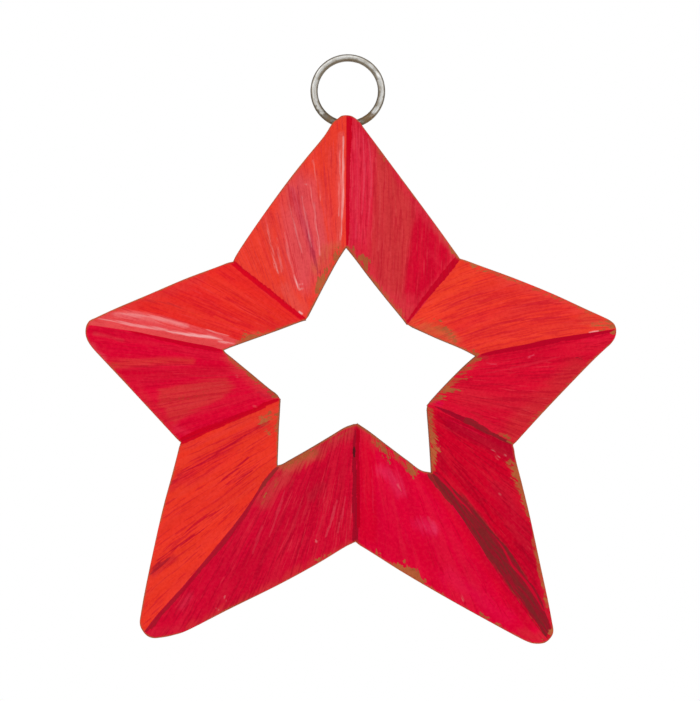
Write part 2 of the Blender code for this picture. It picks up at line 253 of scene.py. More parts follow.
def wave(x, z):
    """Unevenness of hand-bent sheet, in metres towards the front."""
    x, z = x / MM, z / MM
    return MM * (
        0.10 * np.sin(0.115 * x + 0.071 * z + 0.7)
        + 0.07 * np.sin(-0.083 * x + 0.139 * z + 2.1)
        + 0.035 * np.sin(0.31 * x + 0.22 * z + 4.0)
        + 0.020 * np.sin(0.52 * x - 0.61 * z + 1.3)
    )


class Facet:
    """The front of half a point, as a patch between four measured edges: u from ridge to valley, v from rim inwards."""

    def __init__(self, name, point, notch, dish):
        tip, tip_h = np.array(TIPS[point][0]), TIPS[point][1] * MM
        rim, inner = smooth_line(RIM[name]), smooth_line(out_from_centre(INNER[name]))
        ridge = np.array(RIDGE[point], float)
        ridge[-1] = out_from_centre(ridge[-1])
        ridge = smooth_line(ridge)
        valley = np.array((NOTCH_OUT[notch], out_from_centre(NOTCH_IN[notch])))
        rim, inner, ridge, valley = (even(line) for line in (rim, inner, ridge, valley))
        rim = grown(rim, ridge, {"lower_right": 0.85, "lower_left": 0.72}.get(point, 0.42))
        ridge = even(np.vstack((rim[:1], ridge[6:])))
        corner = np.array(NOTCH_OUT[notch])
        along = unit(corner - tip)
        side = np.array((-along[1], along[0]))
        if side @ (CENTRE - tip) < 0:
            side = -side
        h = APEX * np.maximum((rim - tip) @ side, 0.0) / ((CENTRE - tip) @ side)
        inner_tip = ridge[-1]
        start_h = tip_h * np.linalg.norm(ridge[0] - tip) / np.linalg.norm(inner_tip - tip)
        s, length = shares_of(rim)
        h = h + (start_h - h[0]) * np.clip(1.0 - s * length / 18.0, 0, 1) ** 2
        h[-1] = 0.0
        t = np.linspace(0, 1, len(rim))
        notch_h = NOTCH_H[notch] * MM
        self.name, self.dish = name, dish * MM
        self.rim = from_drawn(rim, h)
        self.inner = from_drawn(inner, tip_h + (notch_h - tip_h) * t)
        self.ridge = from_drawn(ridge, start_h + (tip_h - start_h) * t)
        self.valley = from_drawn(valley, notch_h * t)
        self.outline = np.vstack((rim, inner[::-1]))
        self.drawn_rim, self.drawn_inner = rim, inner
        self.rim_len = float(np.linalg.norm(np.diff(self.rim, axis=0), axis=1).sum())
        self.inner_len = float(np.linalg.norm(np.diff(self.inner, axis=0), axis=1).sum())
        self.ridge_len = float(np.linalg.norm(np.diff(self.ridge, axis=0), axis=1).sum())
        self.valley_len = float(np.linalg.norm(np.diff(self.valley, axis=0), axis=1).sum())

    @staticmethod
    def on(curve, t):
        grid = np.linspace(0, 1, len(curve))
        return np.stack([np.interp(t, grid, curve[:, k]) for k in range(3)], -1)

    def at(self, u, v, wavy=True):
        u, v = np.broadcast_arrays(np.asarray(u, float), np.asarray(v, float))
        a, b = u[..., None], v[..., None]
        o, i = self.on(self.rim, u), self.on(self.inner, u)
        r, q = self.on(self.ridge, v), self.on(self.valley, v)
        p = (1 - b) * o + b * i + (1 - a) * r + a * q
        p -= (1 - a) * (1 - b) * self.rim[0] + a * (1 - b) * self.rim[-1] + (1 - a) * b * self.inner[0] + a * b * self.inner[-1]
        if wavy:
            p[..., 1] -= self.dish * 16 * u * (1 - u) * v * (1 - v) + wave(p[..., 0], p[..., 2]) * smoothstep(0, 0.06, v)
        return p

    def normal(self, u, v):
        e = 1e-3
        du = self.at(np.clip(u + e, 0, 1), v) - self.at(np.clip(u - e, 0, 1), v)
        dv = self.at(u, np.clip(v + e, 0, 1)) - self.at(u, np.clip(v - e, 0, 1))
        n = unit(np.cross(du, dv))
        return np.where(n[..., 1:2] > 0, -n, n)


facets = {}
for (point, before, after), (dish_a, dish_b) in zip(
    AROUND, ((0.25, -0.15), (0.2, 0.3), (-0.2, 0.25), (0.3, -0.25), (0.2, 0.15))
):
    _, _, first, second = TIPS[point]
    facets[first] = Facet(first, point, before, dish_a)
    facets[second] = Facet(second, point, after, dish_b)

# ------------------------------------------------------------- the paintwork
def fan(focus, reach):
    """Strokes that run out from one place on the drawing grid."""
    focus = np.array(focus, float)

    def flow(p):
        d = p - focus
        a = np.arctan2(d[..., 1], d[..., 0])
        return np.linalg.norm(d, axis=-1) * 0.3832, np.where(a < -2.6, a + 2 * math.pi, a) * reach * 0.3832

    return flow


def bent(slope, curve, middle):
    """Strokes that run across with this slope, bending by this much."""

    def flow(p):
        x = p[..., 0] - middle
        return p[..., 0] * 0.3832, (p[..., 1] - slope * x - curve * x * x) * 0.3832

    return flow


def upright(slope, curve, middle):
    def flow(p):
        y = p[..., 1] - middle
        return p[..., 1] * 0.3832, (p[..., 0] - slope * y - curve * y * y) * 0.3832

    return flow


def along_valley(notch, rows):
    """An area beside a valley: share from the rim, and how far to either side it reaches."""
    a, b = np.array(NOTCH_OUT[notch]), np.array(NOTCH_IN[notch])
    d = unit(b - a)
    e = np.array((-d[1], d[0]))
    low = [a + (b - a) * t + e * lo for t, lo, _ in rows]
    high = [a + (b - a) * t + e * hi for t, _, hi in rows]
    return [tuple(q) for q in low + high[::-1]]


UR_BAND = along_valley("UR", ((-0.03, -1.2, 4.0), (0.05, -1.1, 4.9), (0.15, -1.4, 5.5), (0.25, -1.5, 5.5), (0.35, -1.1, 5.3),
                              (0.5, -0.5, 5.0), (0.65, 0.3, 4.8), (0.75, 0.4, 4.0), (0.85, 0.4, 3.4), (1.0, 0.3, 2.6)))
UL_BAND = along_valley("UL", ((-0.03, -1.8, 3.2), (0.05, -1.9, 3.5), (0.15, -1.1, 3.9), (0.25, -1.3, 4.2), (0.35, -1.5, 4.0),
                              (0.5, -1.9, 4.0), (0.65, -1.5, 3.5), (0.75, -1.5, 4.0), (0.85, -1.5, 4.0), (1.02, -1.4, 3.4)))
L_BAND = along_valley("L", ((-0.03, -4.4, 2.4), (0.05, -4.2, 2.4), (0.15, -5.3, 2.7), (0.25, -4.8, 2.0), (0.35, -3.5, 2.3),
                            (0.5, -3.2, 2.3), (0.65, -2.6, 2.3), (0.75, -2.0, 2.7), (0.85, -2.8, 1.9), (1.02, -1.0, 1.7)))
R_DARK = along_valley("R", ((0.02, -1.2, 2.0), (0.08, -1.1, 2.6), (0.15, -1.0, 3.0), (0.25, -0.6, 3.2), (0.35, -1.0, 4.9),
                            (0.5, -0.1, 6.8), (0.58, 0.2, 5.6)))
R_FAINT = along_valley("R", ((0.58, 0.2, 5.6), (0.65, 0.4, 5.0), (0.75, 1.0, 5.6), (0.85, 1.6, 4.6), (0.93, 2.0, 2.6)))
B_DARK = along_valley("B", ((-0.02, -3.4, 2.8), (0.05, -3.5, 3.0), (0.15, -2.6, 3.2), (0.25, -3.5, 1.9), (0.35, -4.0, 1.0),
                            (0.5, -3.4, 0.5), (0.65, -3.9, 0.5), (0.75, -4.0, -0.4), (0.85, -3.6, -0.6), (0.95, -2.0, -0.2)))
B_SIDE = along_valley("B", ((0.12, 1.0, 4.6), (0.35, 0.9, 4.2), (0.5, 0.4, 3.9), (0.65, 0.4, 3.6), (0.75, -0.6, 2.6),
                            (0.9, -0.4, 3.6), (1.0, 0.0, 3.0)))
BAND_IN = [(431, 473.5), (429.6, 480), (440.3, 492), (450, 505), (460.4, 519), (469.8, 533), (478.8, 546), (489.8, 560), (499.4, 573),
           (511, 589), (522, 602), (531.5, 617), (539.5, 628), (545.2, 636)]
BAND_OUT = [(551.5, 629), (546.5, 617), (542, 602), (536, 589), (524.6, 576), (516.6, 562), (506.6, 547), (495.6, 535), (488, 526.5),
            (480.2, 517.4), (472, 507), (462.4, 497.4), (454, 488.6), (445.6, 480.4), (436, 471.6)]
LOW_RIDGE = RIDGE["lower_left"]

# tone: an area or a line with its half width, how soft its edge is, colour, cover.
# stroke: a line, half widths along it, colour, cover, raggedness in mm.
# lines: an area, its softness, and how dense dark and pale bristle lines are there.
PAINT = {
    "TL": dict(
        flow=fan((345, 495), 280), base=(233, 61, 45), dark=(196, 40, 52), density=(0.24, 0.22),
        tone=[
            ([(286, 182), (300, 170), (314, 180), (326, 215), (331, 246), (322, 270), (306, 291), (293, 286), (284, 250), (279, 215)],
             26, (221, 78, 82), 0.92),
            ([(292, 190), (300, 215), (310, 240), (316, 264)], 2.6, 5, (184, 54, 84), 0.42),
            # painted highlight along the left side of the top ridge
            ([(340, 134), (339.4, 190), (338.4, 243)], 3.0, 3, (229, 84, 78), 0.75),
            ([(330, 150), (333, 200), (334, 236)], 5, 7, (226, 62, 54), 0.6),
            ([(284, 288), (300, 308)], 6, 9, (227, 82, 74), 0.6),
            ([(316, 268), (326, 250), (336, 246)], 5, 8, (206, 90, 62), 0.6),
            ([(262, 214), (270, 240), (280, 270)], 4, 8, (222, 66, 60), 0.6),
        ],
        stroke=[
            ([(288, 184), (291, 199), (294, 214)], (1.4, 1.8, 0.8), (204, 44, 54), 0.6, 0.5),
            ([(297, 186), (304, 210), (314, 244)], (0.6, 1.0, 0.6), (190, 46, 66), 0.5, 0.5),
            ([(306, 230), (312, 252), (318, 272)], (1.0, 2.2, 1.2), (168, 40, 64), 0.6, 0.7),
            ([(321, 150), (327, 190), (331, 234)], (0.5, 1.1, 0.8), (208, 46, 58), 0.5, 0.4),
            ([(327, 168), (332, 214)], (0.6, 0.8), (208, 44, 50), 0.5, 0.5),
            ([(256, 226), (264, 250), (276, 278)], (0.8, 1.6, 1.2), (216, 44, 46), 0.5, 0.7),
            ([(270, 208), (278, 236), (290, 272)], (0.7, 1.3, 0.9), (214, 52, 52), 0.5, 0.7),
            ([(246, 244), (262, 272)], (0.7, 1.0), (220, 44, 42), 0.5, 0.7),
            ([(315, 176), (324, 214), (328, 240)], (0.8, 1.2, 0.9), (236, 66, 50), 0.7, 0.5),
            ([(255.4, 228), (258.4, 232.4)], (0.7, 0.5), (150, 54, 48), 0.6, 0.1),
        ],
        lines=[([(284, 176), (316, 174), (334, 244), (306, 292), (280, 250)], 12, 0.12, 0.22)],
        pale=[
            # painted highlight: pale lines along the top ridge
            ([(343.0, 136), (342.6, 160), (342.2, 200), (341.2, 220), (340.4, 240)], (0.5, 1.3, 1.3, 0.9, 0.6), 0.62),
            ([(339.2, 150), (338.8, 190), (338.2, 215)], (0.4, 0.7, 0.3), 0.35),
            ([(265, 217), (269.5, 240), (276, 268)], (0.3, 0.8, 1.2), 0.25),
            ([(275.5, 238), (278.6, 254), (281, 271)], (0.3, 0.9, 0.9), 0.20),
            ([(309.6, 184), (313, 206), (318, 240), (319.6, 254)], (0.4, 0.8, 0.8, 1.0), 0.28),
            ([(303.5, 183.4), (307, 184)], (0.6, 0.6), 0.28),
            ([(293.5, 274), (296, 282), (298.8, 289.5)], (0.3, 1.0, 0.8), 0.70),
            ([(272.6, 261), (275.4, 267.6), (278.0, 272.6)], (0.4, 1.0, 0.7), 0.50),
            ([(296.4, 284.4), (302, 283.4)], (0.4, 0.5), 0.34),
            ([(298.4, 289.2), (301.8, 288)], (0.6, 0.6), 0.42),
            ([(284, 232), (289.6, 260), (293, 272)], (0.5, 1.1, 0.6), 0.18),
            # painted glint where the upper-left valley ends
            ([(298.6, 311.2), (301.4, 313.2)], (1.0, 1.0), 1.0),
            ([(302, 196), (306, 222), (311, 246)], (0.4, 1.0, 0.5), 0.22),
            ([(289, 204), (297, 236), (301, 252)], (0.4, 1.2, 0.6), 0.21),
            ([(312, 160), (317, 182), (320, 200)], (0.3, 0.8, 0.4), 0.16),
        ],
        wear=[
            ([(316, 291), (321.5, 279), (325, 270)], (1.8, 3.6, 1.2)),
            ([(335.5, 259), (337.4, 248)], (2.2, 1.2)),
        ],
        thin=[([(318, 284), (338, 250)], 5.5, 0.55)],
        strip=[(UL_BAND, (208, 3, 32))],
    ),
    "TR": dict(
        flow=upright(-0.02, -0.00025, 200), base=(214, 34, 57), dark=(190, 18, 42), density=(0.30, 0.18),
        tone=[
            ([(350, 122), (362, 134), (372, 150), (372, 200), (369, 243), (349, 243)], 6, (219, 36, 64), 0.8),
            ([(351, 150), (352, 243)], 2.5, 3, (218, 20, 58), 0.7),
            ([(376, 148), (392, 168), (413, 205), (409, 250), (403, 302), (388, 297), (376, 282), (369, 240), (373, 190)], 9,
             (204, 54, 56), 0.85),
            ([(378, 205), (380, 260), (382, 285)], 4, 6, (196, 36, 48), 0.5),
            ([(368, 280), (392, 297), (409, 313)], 6, 9, (214, 54, 64), 0.7),
            ([(421, 208), (436, 229), (454, 254), (437, 276), (420, 297), (404, 292), (407, 262), (412.5, 230)], 6.5, (208, 2, 44), 0.92),
            ([(414, 203), (436, 227)], 4, 7, (214, 50, 66), 0.5),
            ([(436, 226), (458, 256)], 4, 6, (206, 62, 66), 0.75),
            ([(430, 252), (440, 264)], 2.5, 5, (216, 30, 58), 0.4),
            ([(374, 140), (382, 166)], 4, 6, (196, 48, 50), 0.6),
        ],
        stroke=[
            ([(362, 132), (364, 170), (361, 214)], (0.5, 1.0, 0.6), (229, 70, 92), 0.5, 0.4),
            ([(368, 138), (371, 176), (367, 230)], (0.5, 1.1, 0.6), (226, 72, 90), 0.5, 0.4),
            ([(356, 132), (357, 180), (355, 238)], (0.5, 1.1, 0.7), (226, 56, 84), 0.45, 0.4),
            ([(359, 140), (360.4, 190), (358.6, 240)], (0.4, 0.8, 0.5), (196, 8, 44), 0.5, 0.4),
            ([(366, 150), (367.6, 200), (364, 244)], (0.4, 0.8, 0.5), (198, 16, 46), 0.5, 0.4),
            ([(384, 160), (390, 205), (389, 250)], (0.6, 1.2, 0.8), (190, 40, 50), 0.5, 0.6),
            ([(396, 184), (402, 225), (399, 280)], (0.6, 1.3, 0.8), (194, 36, 48), 0.5, 0.6),
            ([(376, 158), (380, 200), (378, 250)], (0.6, 1.2, 0.6), (218, 74, 76), 0.4, 0.6),
            ([(392, 178), (396, 215)], (0.7, 0.7), (216, 76, 70), 0.35, 0.6),
        ],
        lines=[([(350, 120), (374, 150), (374, 240), (350, 243)], 8, 0.10, 0.20), ([(436, 224), (460, 258), (448, 268)], 8, 0.0, 0.25)],
        wear=[
            ([(346.5, 246.4), (351, 249)], (2.0, 1.2)),
            ([(359, 257), (363, 258), (367.5, 272)], (1.8, 4.4, 1.6)),
            ([(449, 246), (457, 256)], (0.7, 1.0)),
            ([(372, 279), (378, 287)], (1.0, 0.8)),
        ],
        thin=[([(352, 250), (380, 288), (402, 314)], 5, 0.5), ([(379, 150), (384, 160)], 3, 0.6), ([(440, 232), (456, 254)], 4, 0.4)],
        strip=[
            ([(345, 112), (351.6, 117), (351.2, 140), (349.4, 180), (349.2, 215), (348.8, 240), (347.6, 245), (344.6, 246)], (201, 1, 29)),
            (UR_BAND, (196, 2, 35)),
        ],
    ),
    "RU": dict(
        flow=bent(-0.45, 0.00117, 420), base=(232, 57, 41), dark=(206, 26, 42), density=(0.30, 0.12),
        tone=[
            ([(459, 260), (486, 270), (462, 300), (428, 318), (418, 318)], 16, (236, 64, 40), 0.7),
            ([(452, 330), (480, 318), (520, 309), (575, 306)], 7, 9, (224, 42, 44), 0.6),
            ([(455, 343), (490, 334), (530, 326), (580, 322)], 5, 8, (221, 46, 46), 0.5),
            ([(450, 300), (490, 290), (545, 293)], 5, 8, (224, 44, 42), 0.5),
            ([(500, 277), (550, 297), (580, 309)], 4, 8, (228, 62, 54), 0.6),
            ([(424, 327), (434, 330), (445, 333), (452, 339)], 6, 9, (208, 92, 56), 0.85),
            ([(409, 320.6), (422, 327)], 3.5, 6, (220, 82, 54), 0.6),
            ([(456, 342), (470, 350)], 4, 7, (222, 58, 48), 0.6),
            ([(585, 318), (610, 322)], 5, 7, (224, 72, 52), 0.7),
        ],
        stroke=[
            ([(448, 306), (478, 294), (512, 287)], (0.5, 1.0, 0.5), (206, 30, 44), 0.6, 0.5),
            ([(462, 322), (500, 308), (548, 300)], (0.6, 1.2, 0.6), (206, 26, 44), 0.6, 0.6),
            ([(470, 334), (510, 321), (560, 316)], (0.6, 1.2, 0.6), (204, 28, 44), 0.6, 0.6),
            ([(478, 314), (520, 304), (560, 303)], (0.5, 1.0, 0.5), (202, 28, 42), 0.55, 0.5),
            ([(440, 318), (470, 303), (500, 297)], (0.5, 0.9, 0.5), (214, 34, 44), 0.5, 0.5),
            ([(484, 336), (530, 327), (575, 324)], (0.5, 1.0, 0.5), (206, 34, 44), 0.5, 0.5),
            ([(452, 290), (466, 283), (488, 279)], (0.5, 0.8, 0.4), (210, 34, 42), 0.5, 0.5),
            ([(430, 308), (448, 298)], (0.6, 0.6), (214, 40, 42), 0.45, 0.5),
        ],
        lines=[([(442, 300), (520, 285), (596, 312), (588, 330), (480, 350), (458, 342)], 14, 0.16, 0.0)],
        # painted glint on the right point's ridge
        pale=[([(589, 332), (593, 331.4), (598.5, 330.6)], (0.6, 0.9, 0.6), 0.9)],
        wear=[
            ([(445, 328), (450, 334), (455, 341)], (0.3, 0.9, 0.5)),
            ([(434, 319), (441, 321)], (0.0, 0.4)),
            ([(472.5, 264.8), (484, 269.6)], (2.0, 1.6)),
            ([(500, 275), (508, 277.6), (516, 281)], (0.0, 1.0, 0.0)),
            ([(550, 295), (555, 298)], (0.4, 0.4)),
            ([(584, 310), (590, 313)], (0.3, 0.5)),
            ([(597, 325.6), (604, 323.2), (611, 322)], (0.9, 1.5, 1.2)),
            ([(600, 330), (608, 327), (614, 326)], (0.9, 1.6, 1.4)),
            ([(473.4, 352.4), (476, 354.4)], (1.6, 1.0)),
        ],
        thin=[([(438, 327), (446, 331), (453, 339)], 7, 0.60), ([(470, 263), (496, 273)], 4, 0.55), ([(592, 324), (612, 324)], 4.5, 0.6),
              ([(486, 269.4), (508, 278), (530, 286.6), (560, 299), (592, 313)], 3.2, 0.56)],
        strip=[(UR_BAND, (198, 3, 36))],
    ),
    "RL": dict(
        flow=fan((366, 378), 130), base=(216, 12, 47), dark=(192, 4, 40), density=(0.34, 0.09),
        tone=[
            ([(505, 440), (545, 400), (576, 370)], 12, 17, (206, 43, 50), 0.78),
            ([(462, 398), (500, 400), (545, 398)], 8, 12, (209, 34, 50), 0.45),
            ([(490, 360), (530, 352), (590, 340)], 4, 6, (212, 6, 45), 0.6),
            ([(590, 340), (612, 335)], 4, 6, (218, 14, 54), 0.5),
            ([(455, 410), (500, 430)], 6, 8, (221, 8, 50), 0.6),
            ([(474, 357), (486, 357)], 3, 4, (188, 38, 48), 0.7),
            ([(430, 400), (440, 404)], 3, 4, (226, 4, 74), 0.7),
        ],
        stroke=[
            ([(486, 362.5), (496, 364)], (0.8, 1.0), (232, 80, 106), 0.45, 0.4),
            ([(528, 357), (534, 353.5)], (1.0, 0.8), (232, 84, 110), 0.5, 0.4),
            ([(455, 404), (475, 414), (492, 424)], (0.8, 1.4, 0.8), (206, 30, 48), 0.5, 0.6),
            ([(480, 374), (520, 366), (560, 356)], (0.6, 1.2, 0.6), (224, 44, 66), 0.4, 0.5),
            ([(470, 386), (510, 382), (556, 374)], (0.6, 1.2, 0.6), (196, 10, 42), 0.5, 0.5),
            ([(462, 396), (500, 400), (534, 398)], (0.6, 1.2, 0.6), (198, 16, 44), 0.5, 0.5),
            ([(490, 368), (536, 360)], (0.7, 0.7), (198, 4, 42), 0.5, 0.5),
            ([(575, 357), (581, 358.6), (587, 362)], (0.55, 0.6, 0.4), (120, 30, 40), 0.8, 0.1),
            ([(546, 360), (548, 368)], (0.4, 0.4), (228, 70, 90), 0.4, 0.2),
        ],
        lines=[([(480, 360), (600, 340), (590, 358), (520, 430), (470, 400)], 16, 0.08, 0.07)],
        wear=[
            ([(446, 388.6), (455, 389), (461, 391)], (4.4, 3.0, 0.8)),
            ([(457, 376), (465, 375.6), (472, 377)], (1.8, 1.4, 0.5)),
            ([(462, 368.5), (470, 366)], (1.4, 0.8)),
            ([(437, 397.4), (444, 396.4)], (1.5, 1.0)),
            ([(504, 436), (508, 438), (512, 443)], (1.0, 2.0, 1.8)),
            ([(613.4, 331), (614.6, 335.6)], (0.2, 0.4)),
            ([(475, 357), (479, 360)], (1.2, 0.6)),
            ([(425.8, 404.8), (433, 397)], (0.5, 0.8)),
        ],
        thin=[([(430, 401), (450, 384), (474, 362)], 6, 0.6), ([(500, 434), (512, 444)], 4, 0.5), ([(528, 424), (592, 362)], 5, 0.45)],
        strip=[
            ([(478, 353.8), (495, 348.6), (510, 345.4), (528, 342), (545, 338), (562, 335.2), (578, 333), (592, 330.6), (605, 328.2),
              (614, 326.6), (614, 331), (605, 333), (592, 336), (578, 338.8), (562, 340.8), (545, 345), (528, 348.6), (510, 351.8),
              (495, 353.6), (484, 356)], (189, 4, 38)),
            (R_DARK, (142, 32, 41)),
            (R_FAINT, (161, 12, 41)),
        ],
    ),
    "LRU": dict(
        flow=fan((367, 378), 140), base=(200, 1, 38), dark=(168, 2, 34), density=(0.30, 0.05),
        tone=[
            ([(452, 424), (480, 437), (512, 453)], 6.5, 7, (172, 2, 38), 0.85),
            ([(440, 416), (454, 424)], 4, 6, (180, 2, 38), 0.5),
            ([(448, 436), (480, 462), (516, 500)], 5, 9, (206, 2, 40), 0.6),
            ([(436, 440), (444, 470)], 4, 7, (176, 2, 36), 0.6),
            ([(452, 470), (480, 500)], 3, 8, (180, 0, 35), 0.5),
            ([(500, 490), (525, 545), (543, 605)], 10, 14, (186, 3, 40), 0.7),
            ([(466, 500), (500, 540), (530, 590)], 4, 8, (207, 2, 42), 0.7),
            ([(470, 533), (488, 560), (508, 589), (530, 618)], 3.4, 1.5, (184, 2, 38), 0.9),
            ([(541, 580), (549, 624)], 3, 6, (206, 20, 50), 0.5),
        ],
        stroke=[
            ([(446, 446), (466, 474), (486, 500)], (0.8, 1.6, 0.8), (172, 0, 34), 0.6, 0.6),
            ([(452, 462), (474, 492), (492, 520)], (0.8, 1.6, 0.8), (174, 0, 34), 0.6, 0.6),
            ([(470, 448), (496, 484), (514, 520)], (0.8, 1.4, 0.8), (178, 2, 36), 0.5, 0.6),
            ([(480, 470), (504, 510)], (0.9, 0.9), (212, 6, 44), 0.5, 0.5),
            ([(458, 440), (478, 462)], (0.8, 0.8), (214, 8, 44), 0.5, 0.5),
            ([(436, 412), (446, 424), (460, 440)], (0.8, 1.4, 0.6), (170, 0, 34), 0.6, 0.6),
            ([(442, 416.2), (466.7, 427.4), (486.7, 437.4), (500, 444.2)], (0.3, 0.7, 0.6, 0.3), (216, 10, 54), 0.75, 0.2),
            ([(520, 540), (536, 584)], (0.9, 1.0), (170, 2, 36), 0.5, 0.6),
        ],
        lines=[([(429, 472), (446, 479), (463, 496), (486, 521), (510, 548), (528, 578), (552, 625), (545, 638), (497, 575), (447, 506), (428, 480)],
                2, 0.26, 0.06)],
        dark_zone=[([(429, 470), (445, 484), (462, 494), (482, 519), (505, 546), (523, 573), (537, 590), (548, 628), (545, 638),
                     (528, 617), (497, 573), (469, 533), (447, 505), (429, 482)], (112, 40, 38))],
        pale=[
            ([(492, 449), (499, 456)], (0.4, 0.3), 0.30),
            ([(495, 456), (498, 459.5)], (0.3, 0.3), 0.30),
            ([(504, 453.6), (505.6, 455)], (0.4, 0.4), 0.32),
            ([(498.6, 493.4), (499.6, 494)], (0.3, 0.3), 0.12),
        ],
        wear=[
            ([(429.6, 408), (430.4, 425), (433, 444), (433.5, 456), (431, 468)], (0.8, 2.4, 3.4, 2.8, 0.6)),
            ([(436, 447), (440, 450)], (2.4, 1.0)),
            ([(508, 462), (514, 467), (520.5, 486), (525.5, 505), (530, 520)], (1.8, 5.0, 3.6, 2.0, 0.7)),
            ([(536.4, 553), (539, 566)], (0.8, 1.0)),
            ([(541.6, 583), (546, 599)], (0.6, 0.7)),
            ([(548, 633), (551.6, 630)], (0.7, 0.9)),
        ],
        thin=[([(430, 408), (433, 440), (432, 468)], 5.5, 0.6), ([(508, 462), (526, 508)], 5.5, 0.5), ([(532, 540), (547, 606)], 3, 0.6)],
        strip=[
            (R_DARK, (142, 32, 41)),
            (BAND_IN + BAND_OUT, (145, 22, 39)),
        ],
        bright=[
            ([(431.6, 471.6), (438.5, 476), (443.5, 481.5), (449, 487), (455, 495), (459, 499.5), (465, 505), (469, 510), (472.4, 514.4)],
             (0.5, 1.3, 1.5, 1.3, 1.0, 1.0, 1.0, 0.8, 0.3)),
            ([(495, 537), (503.3, 548.6), (508.3, 558.6), (513.3, 567), (520, 574.5), (528.3, 585.3), (536.7, 598.6), (543.3, 610.3)],
             (0.3, 0.9, 1.2, 1.3, 1.4, 1.5, 1.3, 0.8)),
            ([(437, 405.4), (446, 409.6), (458, 415.4), (470, 421)], (0.5, 0.8, 0.7, 0.3)),
        ],
        gold=[([(439.6, 489), (445, 496.4), (450.4, 503)], (0.2, 0.5, 0.2)),
              ([(455, 511), (460.4, 518)], (0.4, 0.3)),
              ([(512, 591), (521, 604), (531, 618)], (0.2, 0.4, 0.3))],
    ),
    "LRL": dict(
        flow=fan((356, 340), 170), base=(218, 1, 52), dark=(200, 0, 42), density=(0.20, 0.03),
        tone=[
            ([(360, 428), (374, 440), (376, 545), (360, 540)], 6, (215, 1, 44), 0.85),
            ([(380, 470), (390, 475), (401, 492)], 4.5, 10, (224, 44, 90), 0.55),
            ([(417, 522), (432, 529)], 4.5, 10, (224, 34, 88), 0.50),
            ([(432, 522), (435, 531)], 1.2, 4, (230, 70, 110), 0.30),
            ([(410, 545), (430, 560)], 8, 12, (206, 0, 42), 0.40),
            ([(384, 540), (420, 572), (480, 606)], 5, 8, (217, 4, 50), 0.5),
            ([(448, 575), (505, 618)], 7, 12, (224, 14, 70), 0.45),
            ([(425, 478), (455, 517), (478, 551), (500, 584), (530, 624)], 4, 5, (203, 3, 42), 0.75),
            ([(414, 474), (440, 500), (470, 548), (505, 600)], 4, 8, (221, 4, 44), 0.5),
            ([(362, 428), (374, 446)], 4, 8, (206, 40, 56), 0.55),
            ([(520, 632), (541, 638)], 4, 7, (208, 40, 52), 0.6),
        ],
        stroke=[
            ([(371, 462), (372.4, 490), (372, 512)], (0.5, 0.9, 0.5), (228, 34, 70), 0.45, 0.5),
            ([(366, 470), (367, 510)], (0.6, 0.6), (202, 0, 38), 0.5, 0.5),
            ([(363.6, 480), (364, 530)], (0.5, 0.5), (226, 26, 62), 0.4, 0.4),
            ([(380, 463), (386, 478)], (0.9, 0.6), (228, 66, 100), 0.26, 0.8),
            ([(387, 461), (394, 480)], (0.9, 0.6), (228, 66, 100), 0.26, 0.8),
            ([(393, 463), (401, 486)], (0.7, 0.6), (228, 62, 98), 0.26, 0.8),
            ([(420, 515), (426, 529)], (0.8, 0.6), (228, 66, 104), 0.26, 0.8),
            ([(428, 517), (434, 531)], (0.7, 0.6), (230, 72, 106), 0.26, 0.8),
            ([(440, 556), (452, 570)], (1.0, 1.0), (204, 0, 40), 0.5, 0.6),
            ([(458, 540), (480, 576)], (0.8, 0.8), (226, 20, 60), 0.4, 0.5),
            ([(396, 510), (410, 545)], (0.9, 0.9), (222, 8, 60), 0.4, 0.6),
        ],
        pale=[([(397, 484), (400, 490)], (0.5, 0.4), 0.16), ([(461, 594), (463, 600)], (0.4, 0.4), 0.20)],
        wear=[
            ([(376, 442.6), (383, 448.6), (389, 462)], (1.8, 2.8, 0.8)),
            ([(392, 451.4), (397, 455)], (1.4, 1.2)),
            ([(408, 464), (412, 471), (413, 477)], (2.8, 4.4, 1.0)),
            ([(373, 551.5), (379, 554)], (2.0, 1.6)),
            ([(395, 562), (396.2, 568)], (0.8, 1.4)),
            ([(400, 567.6), (410, 573), (420, 581.6)], (3.0, 7.4, 4.6)),
            ([(404, 562), (405, 568)], (0.9, 1.8)),
            ([(424, 585), (440, 594)], (0.8, 0.6)),
            ([(482, 614.6), (490, 619)], (1.3, 1.4)),
            ([(497, 623), (501, 625)], (1.0, 0.9)),
            ([(542, 638.6), (546, 636)], (0.7, 0.9)),
        ],
        thin=[([(372, 440), (394, 456), (412, 470)], 5, 0.55), ([(372, 552), (420, 583), (440, 594)], 3.5, 0.5)],
        strip=[
            (B_DARK, (165, 14, 40)),
            (B_SIDE, (189, 1, 32)),
            ([(426.4, 473.6), (430.8, 470.4), (436.8, 481.8), (444.4, 493), (453.4, 505.6), (451.2, 505), (445.4, 498.6), (439.6, 491), (433.4, 484),
              (428.8, 478)], (139, 40, 40)),
        ],
    ),
    "LLL": dict(
        flow=fan((372, 300), 250), base=(204, 7, 47), dark=(182, 4, 41), density=(0.34, 0.13),
        tone=[
            ([(286, 465), (300, 458), (314, 451)], 8, 10, (200, 78, 64), 0.80),
            ([(264, 500), (272, 486), (284, 478)], 7, 9, (196, 50, 56), 0.70),
            ([(318, 450), (335, 440), (350, 432)], 5, 8, (197, 50, 58), 0.65),
            ([(240, 566), (292, 520), (330, 470)], 11, 16, (193, 4, 42), 0.50),
            ([(180, 616), (235, 560), (262, 530)], 5, 8, (208, 5, 49), 0.6),
            ([(348, 547), (290, 577), (190, 627)], 4, 8, (203, 50, 52), 0.55),
            ([(181, 606), (190, 597)], 3, 7, (214, 46, 76), 0.5),
            ([(288, 545), (304, 540)], 4, 8, (210, 26, 56), 0.4),
            ([(312, 496), (322, 484)], 3, 8, (170, 34, 50), 0.5),
            ([(155, 633), (180, 628)], 4, 8, (204, 30, 54), 0.5),
        ],
        stroke=[
